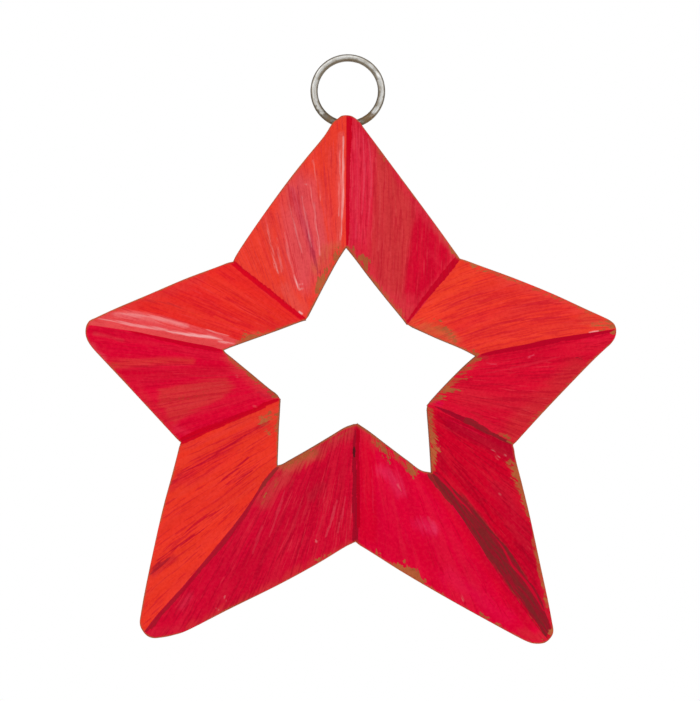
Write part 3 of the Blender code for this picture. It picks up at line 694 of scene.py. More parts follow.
            ([(269, 536), (276, 516), (284, 490)], (0.8, 1.7, 0.6), (221, 58, 78), 0.5, 0.5),
            ([(325, 536), (331, 520), (336, 500)], (0.7, 1.4, 0.6), (224, 72, 90), 0.5, 0.4),
            ([(337, 532), (341.5, 516), (345, 496)], (0.6, 1.2, 0.5), (222, 68, 88), 0.5, 0.4),
            ([(316, 536), (323, 514)], (0.9, 0.7), (218, 56, 76), 0.4, 0.5),
            ([(349.8, 530), (350.4, 512), (350.8, 495)], (0.6, 1.0, 0.5), (228, 84, 100), 0.55, 0.3),
            ([(300, 524), (308, 500)], (0.8, 0.6), (214, 48, 68), 0.4, 0.5),
            ([(286, 540), (300, 506)], (0.8, 0.8), (216, 44, 66), 0.35, 0.5),
            ([(252, 552), (262, 526)], (0.9, 0.7), (218, 50, 72), 0.45, 0.5),
            ([(236, 566), (250, 540)], (0.8, 0.8), (184, 2, 40), 0.5, 0.5),
            ([(296, 552), (318, 500)], (0.8, 0.8), (180, 2, 38), 0.5, 0.5),
            ([(276, 560), (300, 520)], (0.9, 0.9), (182, 4, 40), 0.45, 0.5),
            ([(332, 546), (343, 500)], (0.7, 0.7), (184, 4, 40), 0.45, 0.4),
            ([(206, 594), (226, 566)], (0.9, 0.9), (184, 4, 40), 0.4, 0.5),
        ],
        lines=[([(262, 530), (285, 480), (352, 470), (352, 545), (300, 570)], 16, 0.0, 0.12)],
        pale=[([(224, 596), (226, 602)], (0.3, 0.3), 0.22), ([(314, 539), (316, 541)], (0.4, 0.4), 0.26), ([(216, 608), (219, 610)], (0.3, 0.3), 0.22)],
        wear=[
            ([(288, 463), (300, 456.5), (312, 449.5)], (1.0, 1.8, 1.0)),
            ([(264, 496), (268, 489)], (0.8, 0.8)),
            ([(316, 560), (330, 553)], (0.7, 0.8)),
        ],
        thin=[([(284, 466), (300, 458), (314, 451)], 7, 0.65), ([(328, 442), (350, 430)], 3.5, 0.45), ([(262, 500), (276, 482)], 7, 0.36),
              ([(350, 545), (300, 573)], 2.5, 0.45)],
        strip=[
            (B_DARK, (165, 14, 40)),
            ([(353.6, 445), (352.2, 449), (352.2, 456), (354.2, 457), (355, 450)], (84, 24, 30)),
            (LOW_RIDGE[:12] + [(265.4, 482.5), (260, 491.5), (254.6, 500), (248.8, 510.5), (240.8, 522), (229.6, 537), (215.8, 554),
                               (201, 570), (186.4, 587), (173.8, 602), (163, 614), (153.6, 626), (146, 632)], (172, 25, 44)),
            (LOW_RIDGE[11:] + [(279, 467), (274.6, 472.4), (267.5, 481.5), (261.5, 490)], (152, 42, 43)),
        ],
    ),
    "LLU": dict(
        flow=fan((450, 330), 270), base=(232, 54, 37), dark=(200, 18, 42), density=(0.24, 0.10),
        tone=[
            ([(190, 478), (230, 452)], 8, 12, (228, 44, 40), 0.6),
            ([(165, 530), (210, 500), (240, 486)], 10, 14, (229, 48, 38), 0.6),
            ([(196, 463), (240, 436), (266, 425)], 5, 9, (224, 40, 42), 0.55),
            ([(152, 572), (160, 565), (172, 557)], 4, 6, (196, 30, 42), 0.75),
            ([(170, 485), (180, 478), (190, 472)], 4, 7, (210, 32, 42), 0.7),
            ([(262, 420), (277, 412)], 6, 10, (222, 66, 46), 0.6),
            ([(190, 446), (250, 420)], 3, 7, (226, 52, 46), 0.5),
            ([(200, 545), (240, 512)], 4, 9, (226, 46, 38), 0.4),
            ([(150, 612), (200, 562)], 3, 8, (226, 54, 46), 0.4),
        ],
        stroke=[
            ([(150, 573), (158, 566), (170, 557)], (1.2, 2.6, 0.8), (166, 26, 42), 0.8, 0.6),
            ([(171, 483), (179, 476), (190, 471)], (1.0, 2.0, 0.8), (190, 22, 42), 0.65, 0.7),
            ([(172, 480), (210, 457), (246, 434), (268, 423)], (0.6, 1.1, 1.1, 0.6), (192, 14, 42), 0.85, 0.35),
            ([(176, 474), (205, 456), (236, 438)], (0.5, 0.8, 0.5), (204, 20, 42), 0.65, 0.4),
            ([(186, 474), (214, 457), (244, 440)], (0.5, 0.8, 0.5), (206, 24, 42), 0.6, 0.4),
            ([(221, 480), (236, 468), (248, 456)], (0.8, 1.3, 0.6), (192, 14, 42), 0.85, 0.4),
            ([(235, 483.5), (244, 476), (252, 470)], (0.8, 1.3, 0.6), (190, 14, 42), 0.85, 0.4),
            ([(226, 484), (240, 471)], (0.6, 0.6), (200, 18, 42), 0.7, 0.3),
            ([(229, 455), (240, 449)], (0.9, 0.7), (196, 16, 42), 0.75, 0.4),
            ([(214, 462), (226, 456)], (0.7, 0.6), (204, 20, 42), 0.6, 0.4),
            ([(183, 533), (204, 518), (228, 504)], (0.6, 1.1, 0.5), (198, 14, 42), 0.8, 0.4),
            ([(192, 524), (214, 509)], (0.7, 0.6), (206, 22, 42), 0.6, 0.4),
            ([(157, 560), (178, 545), (204, 529)], (0.6, 1.2, 0.5), (192, 16, 42), 0.85, 0.4),
            ([(158, 552), (182, 535), (200, 524)], (0.5, 0.9, 0.5), (206, 24, 42), 0.6, 0.4),
            ([(168, 519), (190, 503)], (0.7, 0.6), (212, 30, 42), 0.6, 0.4),
            ([(193, 551), (201, 544)], (0.9, 0.6), (200, 20, 42), 0.65, 0.4),
            ([(198, 558), (206, 551)], (0.6, 0.5), (206, 24, 42), 0.5, 0.3),
            ([(248, 434), (259, 426), (269, 421)], (0.8, 1.3, 0.7), (196, 18, 42), 0.75, 0.4),
            ([(252, 444), (266, 436)], (0.8, 0.7), (206, 24, 42), 0.6, 0.4),
            ([(196, 488), (214, 478)], (0.7, 0.6), (210, 28, 42), 0.5, 0.4),
        ],
        lines=[
            ([(171, 484), (172, 472), (210, 448), (268, 416), (272, 428), (230, 458), (190, 482)], 8, 0.20, 0.0),
            ([(216, 486), (250, 450), (262, 462), (238, 488)], 8, 0.22, 0.0),
            ([(150, 562), (182, 526), (232, 498), (236, 508), (200, 534), (160, 568)], 8, 0.18, 0.0),
        ],
        wear=[
            ([(258, 424), (266, 418.6), (277, 414)], (0.5, 1.0, 1.2)),
            ([(260, 417), (270, 412)], (0.4, 0.9)),
            ([(265, 431), (278, 424)], (0.5, 1.2)),
            ([(268, 435), (277, 430)], (0.4, 0.8)),
        ],
        thin=[([(260, 424), (277, 417)], 6, 0.42)],
        strip=[(L_BAND, (207, 2, 32))],
    ),
    "LFL": dict(
        flow=fan((343, 372), 200), base=(217, 5, 49), dark=(200, 2, 42), density=(0.30, 0.05),
        tone=[
            ([(111, 364), (150, 361.5), (190, 360)], 4.0, 5, (213, 47, 50), 0.85),
            ([(158, 388), (190, 382), (226, 378), (234, 386), (222, 398), (196, 410), (174, 423), (158, 404)], 7, (209, 47, 51), 0.90),
            ([(140, 392), (170, 426)], 4, 8, (210, 36, 50), 0.5),
            ([(228, 357), (254, 381), (278, 401)], 6, 9, (214, 50, 58), 0.65),
            ([(92, 345), (104, 360)], 2.5, 5, (224, 70, 88), 0.5),
            ([(94, 333), (112, 337), (122, 340)], 1.4, 2.5, (214, 56, 66), 0.6),
            ([(176, 428), (188, 434)], 3, 6, (226, 40, 72), 0.5),
            ([(110, 348), (160, 351), (212, 354)], 4, 6, (220, 3, 51), 0.75),
            ([(124, 373.6), (160, 373), (200, 370), (222, 368)], 4.6, 6, (211, 3, 44), 0.85),
        ],
        stroke=[
            ([(120, 356), (150, 355), (182, 355)], (0.5, 0.9, 0.4), (202, 0, 40), 0.5, 0.5),
            ([(130, 367), (160, 365.6), (196, 364)], (0.5, 0.9, 0.5), (196, 24, 46), 0.5, 0.5),
            ([(150, 376), (190, 373), (230, 371)], (0.5, 1.0, 0.5), (204, 6, 42), 0.5, 0.5),
            ([(164, 391), (196, 388), (224, 384)], (0.6, 1.0, 0.5), (216, 66, 66), 0.45, 0.5),
            ([(168, 399), (196, 396), (220, 392)], (0.6, 1.0, 0.5), (198, 34, 46), 0.5, 0.5),
            ([(168, 408), (190, 404), (206, 399)], (0.6, 1.0, 0.5), (216, 60, 64), 0.4, 0.5),
            ([(190, 376), (240, 374)], (0.7, 0.7), (212, 40, 56), 0.4, 0.5),
            ([(236, 366), (256, 368)], (0.8, 0.6), (224, 50, 66), 0.4, 0.5),
            ([(258, 392), (272, 398)], (1.4, 1.4), (204, 30, 58), 0.5, 0.6),
            ([(100, 346), (140, 347)], (0.7, 0.7), (206, 2, 42), 0.4, 0.5),
        ],
        lines=[([(108, 356), (200, 352), (232, 372), (220, 400), (170, 424)], 12, 0.08, 0.05)],
        pale=[([(234, 372), (237, 376)], (0.3, 0.3), 0.16), ([(253, 405.5), (256, 406.5)], (0.4, 0.3), 0.16)],
        wear=[
            ([(238, 365.6), (247, 373)], (1.2, 1.4)),
            ([(246, 371.6), (254, 378.4), (263, 385.6)], (1.0, 1.8, 0.9)),
            ([(268, 390.4), (278, 396.4)], (1.2, 1.4)),
            ([(224.6, 352), (230, 356.4)], (0.5, 0.9)),
        ],
        thin=[([(228, 356.6), (256, 378.6), (278, 396.6)], 5, 0.6), ([(160, 400), (215, 391)], 7, 0.22), ([(112, 364), (190, 360)], 4, 0.25)],
        strip=[
            ([(124, 328.6), (150, 333.2), (166, 336.4), (195, 342.2), (223, 349), (224, 351.6), (210, 350.2), (190, 346.8), (166, 341.4),
              (140, 334.8)], (205, 1, 35)),
            (L_BAND, (207, 1, 31)),
        ],
    ),
    "LFU": dict(
        flow=fan((381, 380), 210), base=(230, 42, 37), dark=(208, 20, 38), density=(0.26, 0.14),
        tone=[
            ([(215, 285), (245, 303), (280, 322)], 11, 16, (231, 50, 36), 0.7),
            ([(150, 300), (190, 314), (225, 330)], 5, 9, (228, 50, 42), 0.6),
            ([(185, 287), (215, 299)], 4, 8, (225, 34, 38), 0.5),
            ([(120, 306), (160, 294), (200, 279)], 4, 8, (222, 52, 50), 0.7),
            # this band and the next: pale paint along the left ridge, partly painted highlight
            ([(90, 321), (100, 316.5), (112, 310.5), (150, 316), (190, 325), (222, 334), (242, 342), (232, 352), (200, 347), (150, 337),
              (110, 330), (88, 328)], 2.8, (226, 76, 78), 0.88),
            ([(116, 313.6), (140, 315.6), (166, 321), (184, 326)], 3.4, 4, (232, 112, 112), 0.62),
            ([(88, 322), (104, 325)], 3, 5, (222, 72, 76), 0.6),
            ([(262, 330), (296, 320)], 4, 8, (222, 44, 42), 0.5),
            ([(244, 338), (256, 334)], 4, 6, (214, 76, 52), 0.6),
        ],
        stroke=[
            ([(148, 299), (168, 303.6), (196, 314)], (0.9, 1.4, 0.6), (196, 42, 46), 0.6, 0.5),
            ([(166, 312), (190, 319), (214, 328)], (0.5, 0.9, 0.5), (214, 34, 40), 0.5, 0.5),
            ([(206, 289), (232, 302), (258, 318)], (0.5, 1.0, 0.5), (206, 20, 38), 0.6, 0.4),
            ([(182, 297), (214, 312), (246, 330)], (0.5, 0.9, 0.5), (208, 22, 38), 0.6, 0.4),
            ([(226, 296), (246, 307), (264, 320)], (0.5, 0.9, 0.5), (206, 20, 36), 0.55, 0.4),
            ([(196, 296), (220, 307), (240, 319)], (0.5, 0.8, 0.5), (212, 26, 38), 0.5, 0.4),
            ([(174, 306), (204, 317)], (0.7, 0.7), (238, 64, 40), 0.5, 0.5),
            ([(214, 316), (240, 328)], (0.7, 0.7), (238, 62, 40), 0.5, 0.5),
            ([(200, 328), (224, 337)], (0.7, 0.7), (210, 26, 42), 0.5, 0.4),
            ([(154, 320), (182, 328.6), (216, 337)], (0.6, 1.1, 0.6), (226, 56, 56), 0.7, 0.3),
            ([(268, 312), (272, 321)], (1.8, 1.4), (218, 28, 36), 0.45, 0.7),
            ([(236, 292), (258, 304)], (0.7, 0.7), (214, 30, 38), 0.5, 0.5),
        ],
        lines=[([(170, 290), (215, 275), (290, 318), (250, 338), (214, 326)], 14, 0.14, 0.0),
               ([(96, 314), (150, 312), (240, 340), (160, 336), (100, 326)], 6, 0.0, 0.25)],
        # pale streaks near the left ridge: pale paint, partly painted highlight
        pale=[
            ([(113, 312.6), (140, 315), (166, 319.6), (188, 326)], (0.8, 1.8, 2.0, 1.0), 0.22),
            ([(122, 312.6), (150, 316.6), (180, 323.4)], (0.4, 0.8, 0.5), 0.30),
            ([(98, 318), (120, 321.4), (136, 324.9), (150, 327), (166, 329.8)], (0.6, 1.1, 1.4, 1.5, 1.3), 0.42),
            ([(166, 330.4), (180, 333), (195, 335), (210, 336.4), (222, 339.4)], (1.1, 1.6, 1.7, 1.9, 0.9), 0.66),
            ([(186, 334.4), (200, 335.6), (212, 337.4)], (0.4, 0.8, 0.5), 0.4),
            ([(206, 328.6), (218, 332.4), (228, 335.4)], (0.4, 0.7, 0.4), 0.40),
            ([(218, 340.4), (228, 342.4), (234, 343.4)], (0.8, 1.2, 0.7), 0.55),
        ],
        wear=[
            ([(240, 340.6), (248, 337.4), (255, 334.6)], (1.0, 2.2, 1.6)),
            ([(258, 333), (263, 330.6)], (1.6, 1.0)),
            ([(243, 335), (246, 333)], (0.8, 0.8)),
        ],
        thin=[([(238, 342), (268, 331)], 4.5, 0.6)],
        strip=[(UL_BAND, (213, 3, 30))],
    ),
}


def inside(p, outline):
    """Signed distance to a closed outline on the drawing grid: positive inside."""
    q = np.asarray(outline, float)
    best = np.full(p.shape[:-1], 1e9)
    crossed = np.zeros(p.shape[:-1], bool)
    for k in range(len(q)):
        a, b = q[k], q[(k + 1) % len(q)]
        ab = b - a
        t = np.clip(((p - a) @ ab) / max(ab @ ab, 1e-9), 0, 1)
        best = np.minimum(best, np.linalg.norm(p - (a + t[..., None] * ab), axis=-1))
        spans = (a[1] > p[..., 1]) != (b[1] > p[..., 1])
        with np.errstate(divide="ignore", invalid="ignore"):
            x = a[0] + (p[..., 1] - a[1]) * ab[0] / (ab[1] if abs(ab[1]) > 1e-9 else 1e-9)
        crossed ^= spans & (p[..., 0] < x)
    return np.where(crossed, best, -best)


def beside(p, line, half):
    """How far inside a line's width: positive on it, in drawing units."""
    line = np.asarray(line, float)
    d, t = near(p, smooth_line(line, 6) if len(line) > 2 else line)
    return np.interp(t, np.linspace(0, 1, len(half)), half) - d


MM_EACH = 0.3832
GAIN = {"RL": 1.08, "LRU": 1.09, "LRL": 1.10, "LLL": 1.12, "LFL": 1.08, "TR": 1.01, "TL": 1.01, "LFU": 1.01}


def paint_facet(name, p):
    """What is painted where: p are places on the drawing grid."""
    spec = PAINT[name]
    s, c = spec["flow"](p)
    shape = p.shape[:-1]
    seed = sum(map(ord, name))
    tint = np.tile(linear(spec["base"]), shape + (1,))
    # no edge of an area is straight: it wanders with the brush
    wander = (vnoise(s * 0.10, c * 0.9, seed) - 0.5) * 5.0 + (vnoise(s * 0.3, c * 2.0, seed + 7) - 0.5) * 2.5
    for entry in spec["tone"]:
        if len(entry) == 4:
            outline, soft, colour, cover = entry
            reach = inside(p, outline)
        else:
            line, half, soft, colour, cover = entry
            reach = beside(p, line, (half, half))
        a = smoothstep(-soft / 2.0, soft / 2.0, reach + wander * min(soft / 7.0, 1.3)) * cover
        tint = tint + (linear(colour) - tint) * a[..., None]
    tint = tint * GAIN.get(name, 1.03) * (1.0 + 0.10 * (vnoise(s * 0.06, c * 0.45, seed + 3) - 0.5))[..., None]

    dark = np.tile(linear(spec["dark"]), shape + (1,))
    for outline, colour in spec.get("dark_zone", []):
        dark = np.where((inside(p, outline) > -1.0)[..., None], linear(colour), dark)
    dense = np.full(shape, spec["density"][0])
    airy = np.full(shape, spec["density"][1])
    for outline, soft, more, paler in spec.get("lines", []):
        a = smoothstep(-soft, soft, inside(p, outline))
        dense, airy = dense + a * more, airy + a * paler

    far = np.full(shape, -4.0)
    stroke, stroke_cover, stroke_colour = far.copy(), np.zeros(shape), tint.copy()
    for line, half, colour, cover, ragged in spec["stroke"]:
        f = beside(p, line, half) * MM_EACH / max(ragged, 0.1)
        take = f > stroke
        stroke_colour = np.where(take[..., None], linear(colour), stroke_colour)
        stroke_cover = np.where(take, cover, stroke_cover)
        stroke = np.maximum(stroke, f)

    strip, strip_colour = far.copy(), np.tile(linear((200, 2, 34)), shape + (1,))
    for outline, colour in spec.get("strip", []):
        f = inside(p, outline) * MM_EACH
        take = (f > strip) | (f > 0.0)
        strip_colour = np.where(take[..., None], linear(colour), strip_colour)
        strip = np.maximum(strip, f)

    def widest(key):
        best = far.copy()
        for line, half in spec.get(key, []):
            best = np.maximum(best, beside(p, line, half) * MM_EACH)
        return best

    # pale paint streaks, and painted highlights and glints along the folds
    pale, pale_and_sheen_cover = far.copy(), np.zeros(shape)
    for line, half, cover in spec.get("pale", []):
        f = beside(p, line, half) * MM_EACH
        pale_and_sheen_cover = np.where(f > pale, cover, pale_and_sheen_cover)
        pale = np.maximum(pale, f)
    thin = np.zeros(shape)
    for line, half, cover in spec.get("thin", []):
        thin = np.maximum(thin, smoothstep(-half * 0.3, half, beside(p, line, (half, half))) * cover)

    def limit(x):
        return np.clip(x, -4.0, 3.0)

    return dict(
        flow=np.stack((s, c, np.full_like(s, seed * 1.7 % 97.0)), -1),
        tint=tint, dark=dark, stroke=stroke_colour, strip=strip_colour,
        marks=np.stack((limit(strip), limit(widest("bright")), limit(widest("gold"))), -1),
        worn=np.stack((limit(widest("wear")), thin, np.zeros_like(thin)), -1),
        pale=np.stack((limit(pale), pale_and_sheen_cover, limit(stroke)), -1),
        dense=np.stack((stroke_cover, dense, airy), -1),
    )


# -------------------------------------------------------------- mesh helpers
def make(name, verts, faces, materials, slots=None, corner=None, smooth=True, sharp=None):
    """A mesh object from arrays; corner holds per-corner attributes."""
    mesh = bpy.data.meshes.new(name)
    verts = np.asarray(verts, float)
    mesh.from_pydata(verts.tolist(), [], [list(map(int, f)) for f in faces])
    for m in materials:
        mesh.materials.append(m)
    if slots is not None:
        mesh.polygons.foreach_set("material_index", np.asarray(slots, np.int32))
    for key, (kind, values) in (corner or {}).items():
        if kind == "FLOAT":
            a = mesh.attributes.new(key, "FLOAT", "CORNER")
            a.data.foreach_set("value", np.asarray(values, np.float32).ravel())
        elif kind == "VECTOR":
            a = mesh.attributes.new(key, "FLOAT_VECTOR", "CORNER")
            a.data.foreach_set("vector", np.asarray(values, np.float32).ravel())
        else:
            a = mesh.attributes.new(key, "FLOAT_COLOR", "CORNER")
            v = np.concatenate((values, np.ones(values.shape[:-1] + (1,))), -1)
            a.data.foreach_set("color", np.asarray(v, np.float32).ravel())
    obj = bpy.data.objects.new(name, mesh)
    bpy.context.scene.collection.objects.link(obj)
    mesh.validate()
    mesh.update()
    if smooth:
        mesh.shade_smooth()
        if sharp is not None:
            mesh.set_sharp_from_angle(angle=math.radians(sharp))
    return obj


# ------------------------------------------------------------ shader helpers
class Tree:
    def __init__(self, name):
        self.mat = bpy.data.materials.new(name)
        self.mat.use_nodes = True
        self.t = self.mat.node_tree
        self.bsdf = self.t.nodes["Principled BSDF"]

    def node(self, kind, **settings):
        n = self.t.nodes.new(kind)
        for key, value in settings.items():
            setattr(n, key, value)
        return n

    def plug(self, value, socket):
        if isinstance(value, bpy.types.NodeSocket):
            self.t.links.new(value, socket)
        elif value is not None:
            try:
                socket.default_value = value
            except (TypeError, ValueError):
                socket.default_value = (*value, 1.0)

    def attr(self, name):
        return self.node("ShaderNodeAttribute", attribute_name=name)

    def split(self, vector):
        n = self.node("ShaderNodeSeparateXYZ")
        self.plug(vector, n.inputs[0])
        return n.outputs

    def math(self, operation, a, b=None, c=None, clamp=False):
        n = self.node("ShaderNodeMath", operation=operation, use_clamp=clamp)
        for value, socket in zip((a, b, c), n.inputs):
            self.plug(value, socket)
        return n.outputs[0]

    def vec(self, operation, a, b):
        n = self.node("ShaderNodeVectorMath", operation=operation)
        self.plug(a, n.inputs[0])
        self.plug(b, n.inputs[1])
        return n.outputs[0]

    def noise(self, vector, scale=1.0, detail=2.0, rough=0.55, lacunarity=2.0):
        n = self.node("ShaderNodeTexNoise", noise_dimensions="3D")
        self.plug(vector, n.inputs["Vector"])
        n.inputs["Scale"].default_value = scale
        n.inputs["Detail"].default_value = detail
        n.inputs["Roughness"].default_value = rough
        n.inputs["Lacunarity"].default_value = lacunarity
        return n.outputs["Fac"] if "Fac" in n.outputs else n.outputs[0]

    def step(self, value, a, b, low=0.0, high=1.0):
        n = self.node("ShaderNodeMapRange", interpolation_type="SMOOTHSTEP")
        for v, key in ((value, "Value"), (a, "From Min"), (b, "From Max"), (low, "To Min"), (high, "To Max")):
            self.plug(v, n.inputs[key])
        return n.outputs[0]

    def mix(self, factor, a, b, blend="MIX"):
        n = self.node("ShaderNodeMix", data_type="RGBA", blend_type=blend)
        self.plug(factor, n.inputs[0])
        self.plug(a, n.inputs[6])
        self.plug(b, n.inputs[7])
        return n.outputs[2]

    def centred(self, value, amount):
        """Noise turned into plus or minus this amount."""
        return self.math("MULTIPLY", self.math("SUBTRACT", value, 0.5), amount)

    def finish(self, colour, rough, height=None, distance=0.0001, specular=0.3, metallic=0.0, normal_strength=1.0):
        self.plug(colour, self.bsdf.inputs["Base Color"])
        self.plug(rough, self.bsdf.inputs["Roughness"])
        self.bsdf.inputs["Specular IOR Level"].default_value = specular
        self.bsdf.inputs["Metallic"].default_value = metallic
        if height is not None:
            bump = self.node("ShaderNodeBump")
            bump.inputs["Strength"].default_value = normal_strength
            bump.inputs["Distance"].default_value = distance
            self.plug(height, bump.inputs["Height"])
            self.plug(bump.outputs[0], self.bsdf.inputs["Normal"])
        return self.mat


def rgb(c):
    return (*[float(v) for v in linear(c)], 1.0)


def brown_steel(t, position, scale=1.0):
    """Colour, roughness and height of browned, slightly rusty sheet."""
    cloud = t.noise(position, 90.0 * scale, 4.0, 0.6)
    fine = t.noise(position, 900.0 * scale, 3.0, 0.6)
    speck = t.noise(position, 2600.0 * scale, 2.0, 0.5)
    colour = t.mix(t.step(cloud, 0.32, 0.68), rgb((170, 84, 50)), rgb((188, 98, 58)))
    colour = t.mix(t.step(fine, 0.45, 0.75, 0.0, 0.5), colour, rgb((150, 70, 44)))
    colour = t.mix(t.step(speck, 0.62, 0.74, 0.0, 0.45), colour, rgb((112, 58, 42)))
    rough = t.step(fine, 0.25, 0.75, 0.52, 0.72)
    height = t.math("ADD", t.math("MULTIPLY", fine, 0.5), t.math("MULTIPLY", speck, 0.35))
    return colour, rough, height


def paint_material():
    """Brushed red and orange paint over browned steel."""
    t = Tree("brushed_paint")
    geometry = t.node("ShaderNodeTexCoord").outputs["Object"]
    flow = t.attr("flow").outputs["Vector"]
    tint = t.attr("tint").outputs["Color"]
    dark = t.attr("dark").outputs["Color"]
    stroke_colour = t.attr("stroke").outputs["Color"]
    strip_colour = t.attr("strip").outputs["Color"]
    strip, bright, gold = t.split(t.attr("marks").outputs["Vector"])
    wear, thin, edge = t.split(t.attr("worn").outputs["Vector"])
    pale, pale_and_sheen_cover, stroke = t.split(t.attr("pale").outputs["Vector"])
    stroke_cover, dense, airy = t.split(t.attr("dense").outputs["Vector"])

    def spread(value):
        """Noise stretched over its whole range."""
        return t.step(value, 0.30, 0.70)

    wobble = t.noise(t.vec("MULTIPLY", flow, (0.12, 0.5, 1.0)), 1.0, 1.0, 0.5)
    offset = t.node("ShaderNodeCombineXYZ")
    t.plug(t.centred(wobble, 0.9), offset.inputs[1])
    brush = t.vec("ADD", flow, offset.outputs[0])
    other = t.vec("ADD", brush, (3.7, 11.3, 31.0))
    bristle = spread(t.noise(t.vec("MULTIPLY", brush, (0.050, 1.25, 1.0)), 1.0, 2.0, 0.6))
    hair = spread(t.noise(t.vec("MULTIPLY", brush, (0.16, 2.6, 1.0)), 1.0, 1.0, 0.5))
    second = spread(t.noise(t.vec("MULTIPLY", other, (0.065, 1.55, 1.0)), 1.0, 2.0, 0.6))
    band = spread(t.noise(t.vec("MULTIPLY", brush, (0.022, 0.36, 1.0)), 1.0, 1.0, 0.5))
    finger = spread(t.noise(t.vec("MULTIPLY", other, (0.20, 1.25, 1.0)), 1.0, 1.0, 0.5))
    mottle = spread(t.noise(geometry, 850.0, 1.0, 0.5))
    cloud = spread(t.noise(geometry, 75.0, 2.0, 0.6))
    grain = spread(t.noise(geometry, 2300.0, 1.0, 0.6))
    patch = spread(t.noise(geometry, 330.0, 2.0, 0.6))

    steel, steel_rough, steel_height = brown_steel(t, geometry)

    # heavier and thinner paint along the strokes
    colour = t.mix(t.step(band, 0.45, 1.0, 0.0, 0.22), tint, t.mix(1.0, tint, rgb((240, 200, 220)), "MULTIPLY"))
    colour = t.mix(t.step(band, 0.55, 0.0, 0.0, 0.035), colour, rgb((240, 104, 100)))
    # dark bristle lines, then pale ones
    run = t.math("ADD", t.math("MULTIPLY", bristle, 0.62), t.math("MULTIPLY", hair, 0.38))
    limit = t.math("SUBTRACT", 1.0, dense)
    dark_line = t.step(t.math("SUBTRACT", run, limit), -0.10, 0.12)
    colour = t.mix(t.math("MULTIPLY", dark_line, 0.55), colour, dark)
    other_run = t.math("ADD", t.math("MULTIPLY", second, 0.70), t.math("MULTIPLY", hair, -0.30))
    other_run = t.math("ADD", other_run, 0.30)
    pale_line = t.step(t.math("SUBTRACT", other_run, t.math("SUBTRACT", 1.0, airy)), -0.10, 0.20)
    colour = t.mix(t.math("MULTIPLY", pale_line, 0.26), colour, rgb((236, 82, 92)))
    # single strokes, broken by the bristles
    m = t.math("ADD", stroke, t.math("ADD", t.centred(bristle, 1.3), t.centred(hair, 0.9)))
    colour = t.mix(t.math("MULTIPLY", t.step(m, -0.15, 0.45), stroke_cover), colour, stroke_colour)
    # faint mottling of the sheet under thin paint
    colour = t.mix(t.step(mottle, 0.45, 1.0, 0.0, 0.22), colour, t.mix(1.0, colour, rgb((226, 190, 206)), "MULTIPLY"))
    colour = t.mix(t.step(mottle, 0.5, 0.0, 0.0, 0.018), colour, rgb((250, 120, 112)))
    colour = t.mix(t.step(grain, 0.5, 1.0, 0.0, 0.12), colour, t.mix(1.0, colour, rgb((216, 186, 200)), "MULTIPLY"))
    # dry brush: steel shows between the bristles where the paint is thin
    rub = t.math("ADD", t.centred(finger, 0.55), t.math("ADD", t.centred(hair, 0.35), t.centred(mottle, 0.3)))
    dry = t.math("ADD", t.math("SUBTRACT", t.math("MULTIPLY", thin, 1.7), 0.5), rub)
    colour = t.mix(t.step(dry, 0.0, 0.75, 0.0, 0.66), colour, steel)

    # strips painted along the folds
    m = t.math("ADD", strip, t.math("ADD", t.centred(finger, 0.26), t.centred(mottle, 0.14)))
    lined = t.mix(t.math("MULTIPLY", t.step(other_run, 0.56, 0.86), 0.45), strip_colour, rgb((182, 8, 42)))
    lined = t.mix(t.math("MULTIPLY", t.step(t.math("SUBTRACT", run, limit), -0.06, 0.08), 0.60), lined, dark)
    lined = t.mix(t.step(mottle, 0.5, 1.0, 0.0, 0.20), lined, t.mix(1.0, lined, rgb((220, 200, 210)), "MULTIPLY"))
    strip_cover = t.step(m, -0.03, 0.12, 0.0, 0.97)
    colour = t.mix(strip_cover, colour, lined)
    m = t.math("ADD", bright, t.centred(hair, 0.26))
    colour = t.mix(t.step(m, -0.10, 0.20, 0.0, 0.88), colour, rgb((204, 6, 44)))
    m = t.math("ADD", gold, t.centred(hair, 0.35))
    colour = t.mix(t.step(m, -0.08, 0.16, 0.0, 0.65), colour, rgb((190, 62, 46)))

    # pale streaks left by the bristles, partly painted highlight: sheen along the ridges and glints at the folds
    broken = t.math("ADD", t.centred(hair, 0.50), t.math("ADD", t.centred(second, 0.45), t.centred(finger, 0.30)))
    m = t.math("ADD", pale, t.math("MULTIPLY", broken, t.math("SUBTRACT", 1.25, pale_and_sheen_cover)))
    colour = t.mix(t.math("MULTIPLY", t.step(m, -0.26, 0.58), t.math("MULTIPLY", pale_and_sheen_cover, 0.88)), colour, rgb((250, 200, 200)))

    # bare, browned steel: ragged patches and the worn corner of the sheet
    patchy = t.math("ADD", t.centred(patch, 1.3), t.centred(mottle, 0.6))
    m = t.math("ADD", wear, t.math("ADD", t.centred(finger, 1.1), t.math("ADD", t.centred(hair, 0.6), patchy)))
    bare = t.step(m, 0.0, 0.20)
    rim = t.math("ADD", t.math("SUBTRACT", 0.40, edge), t.math("ADD", t.centred(bristle, 0.30), t.math("ADD", t.centred(cloud, 0.34), t.centred(mottle, 0.18))))
    bare = t.math("MAXIMUM", bare, t.step(rim, -0.05, 0.13, 0.0, 0.88))
    soft = t.math("ADD", t.math("SUBTRACT", 1.1, edge), t.math("ADD", t.centred(finger, 0.9), t.centred(cloud, 0.6)))
    colour = t.mix(t.step(soft, 0.0, 1.3, 0.0, 0.34), colour, rgb((192, 80, 62)))
    colour = t.mix(bare, colour, steel)

    rough = t.math("ADD", 0.44, t.math("ADD", t.centred(bristle, 0.08), t.centred(mottle, 0.06)))
    even_rough = t.node("ShaderNodeMix", data_type="FLOAT")
    t.plug(bare, even_rough.inputs[0])
    t.plug(rough, even_rough.inputs[2])
    t.plug(steel_rough, even_rough.inputs[3])
    rough = even_rough.outputs[0]
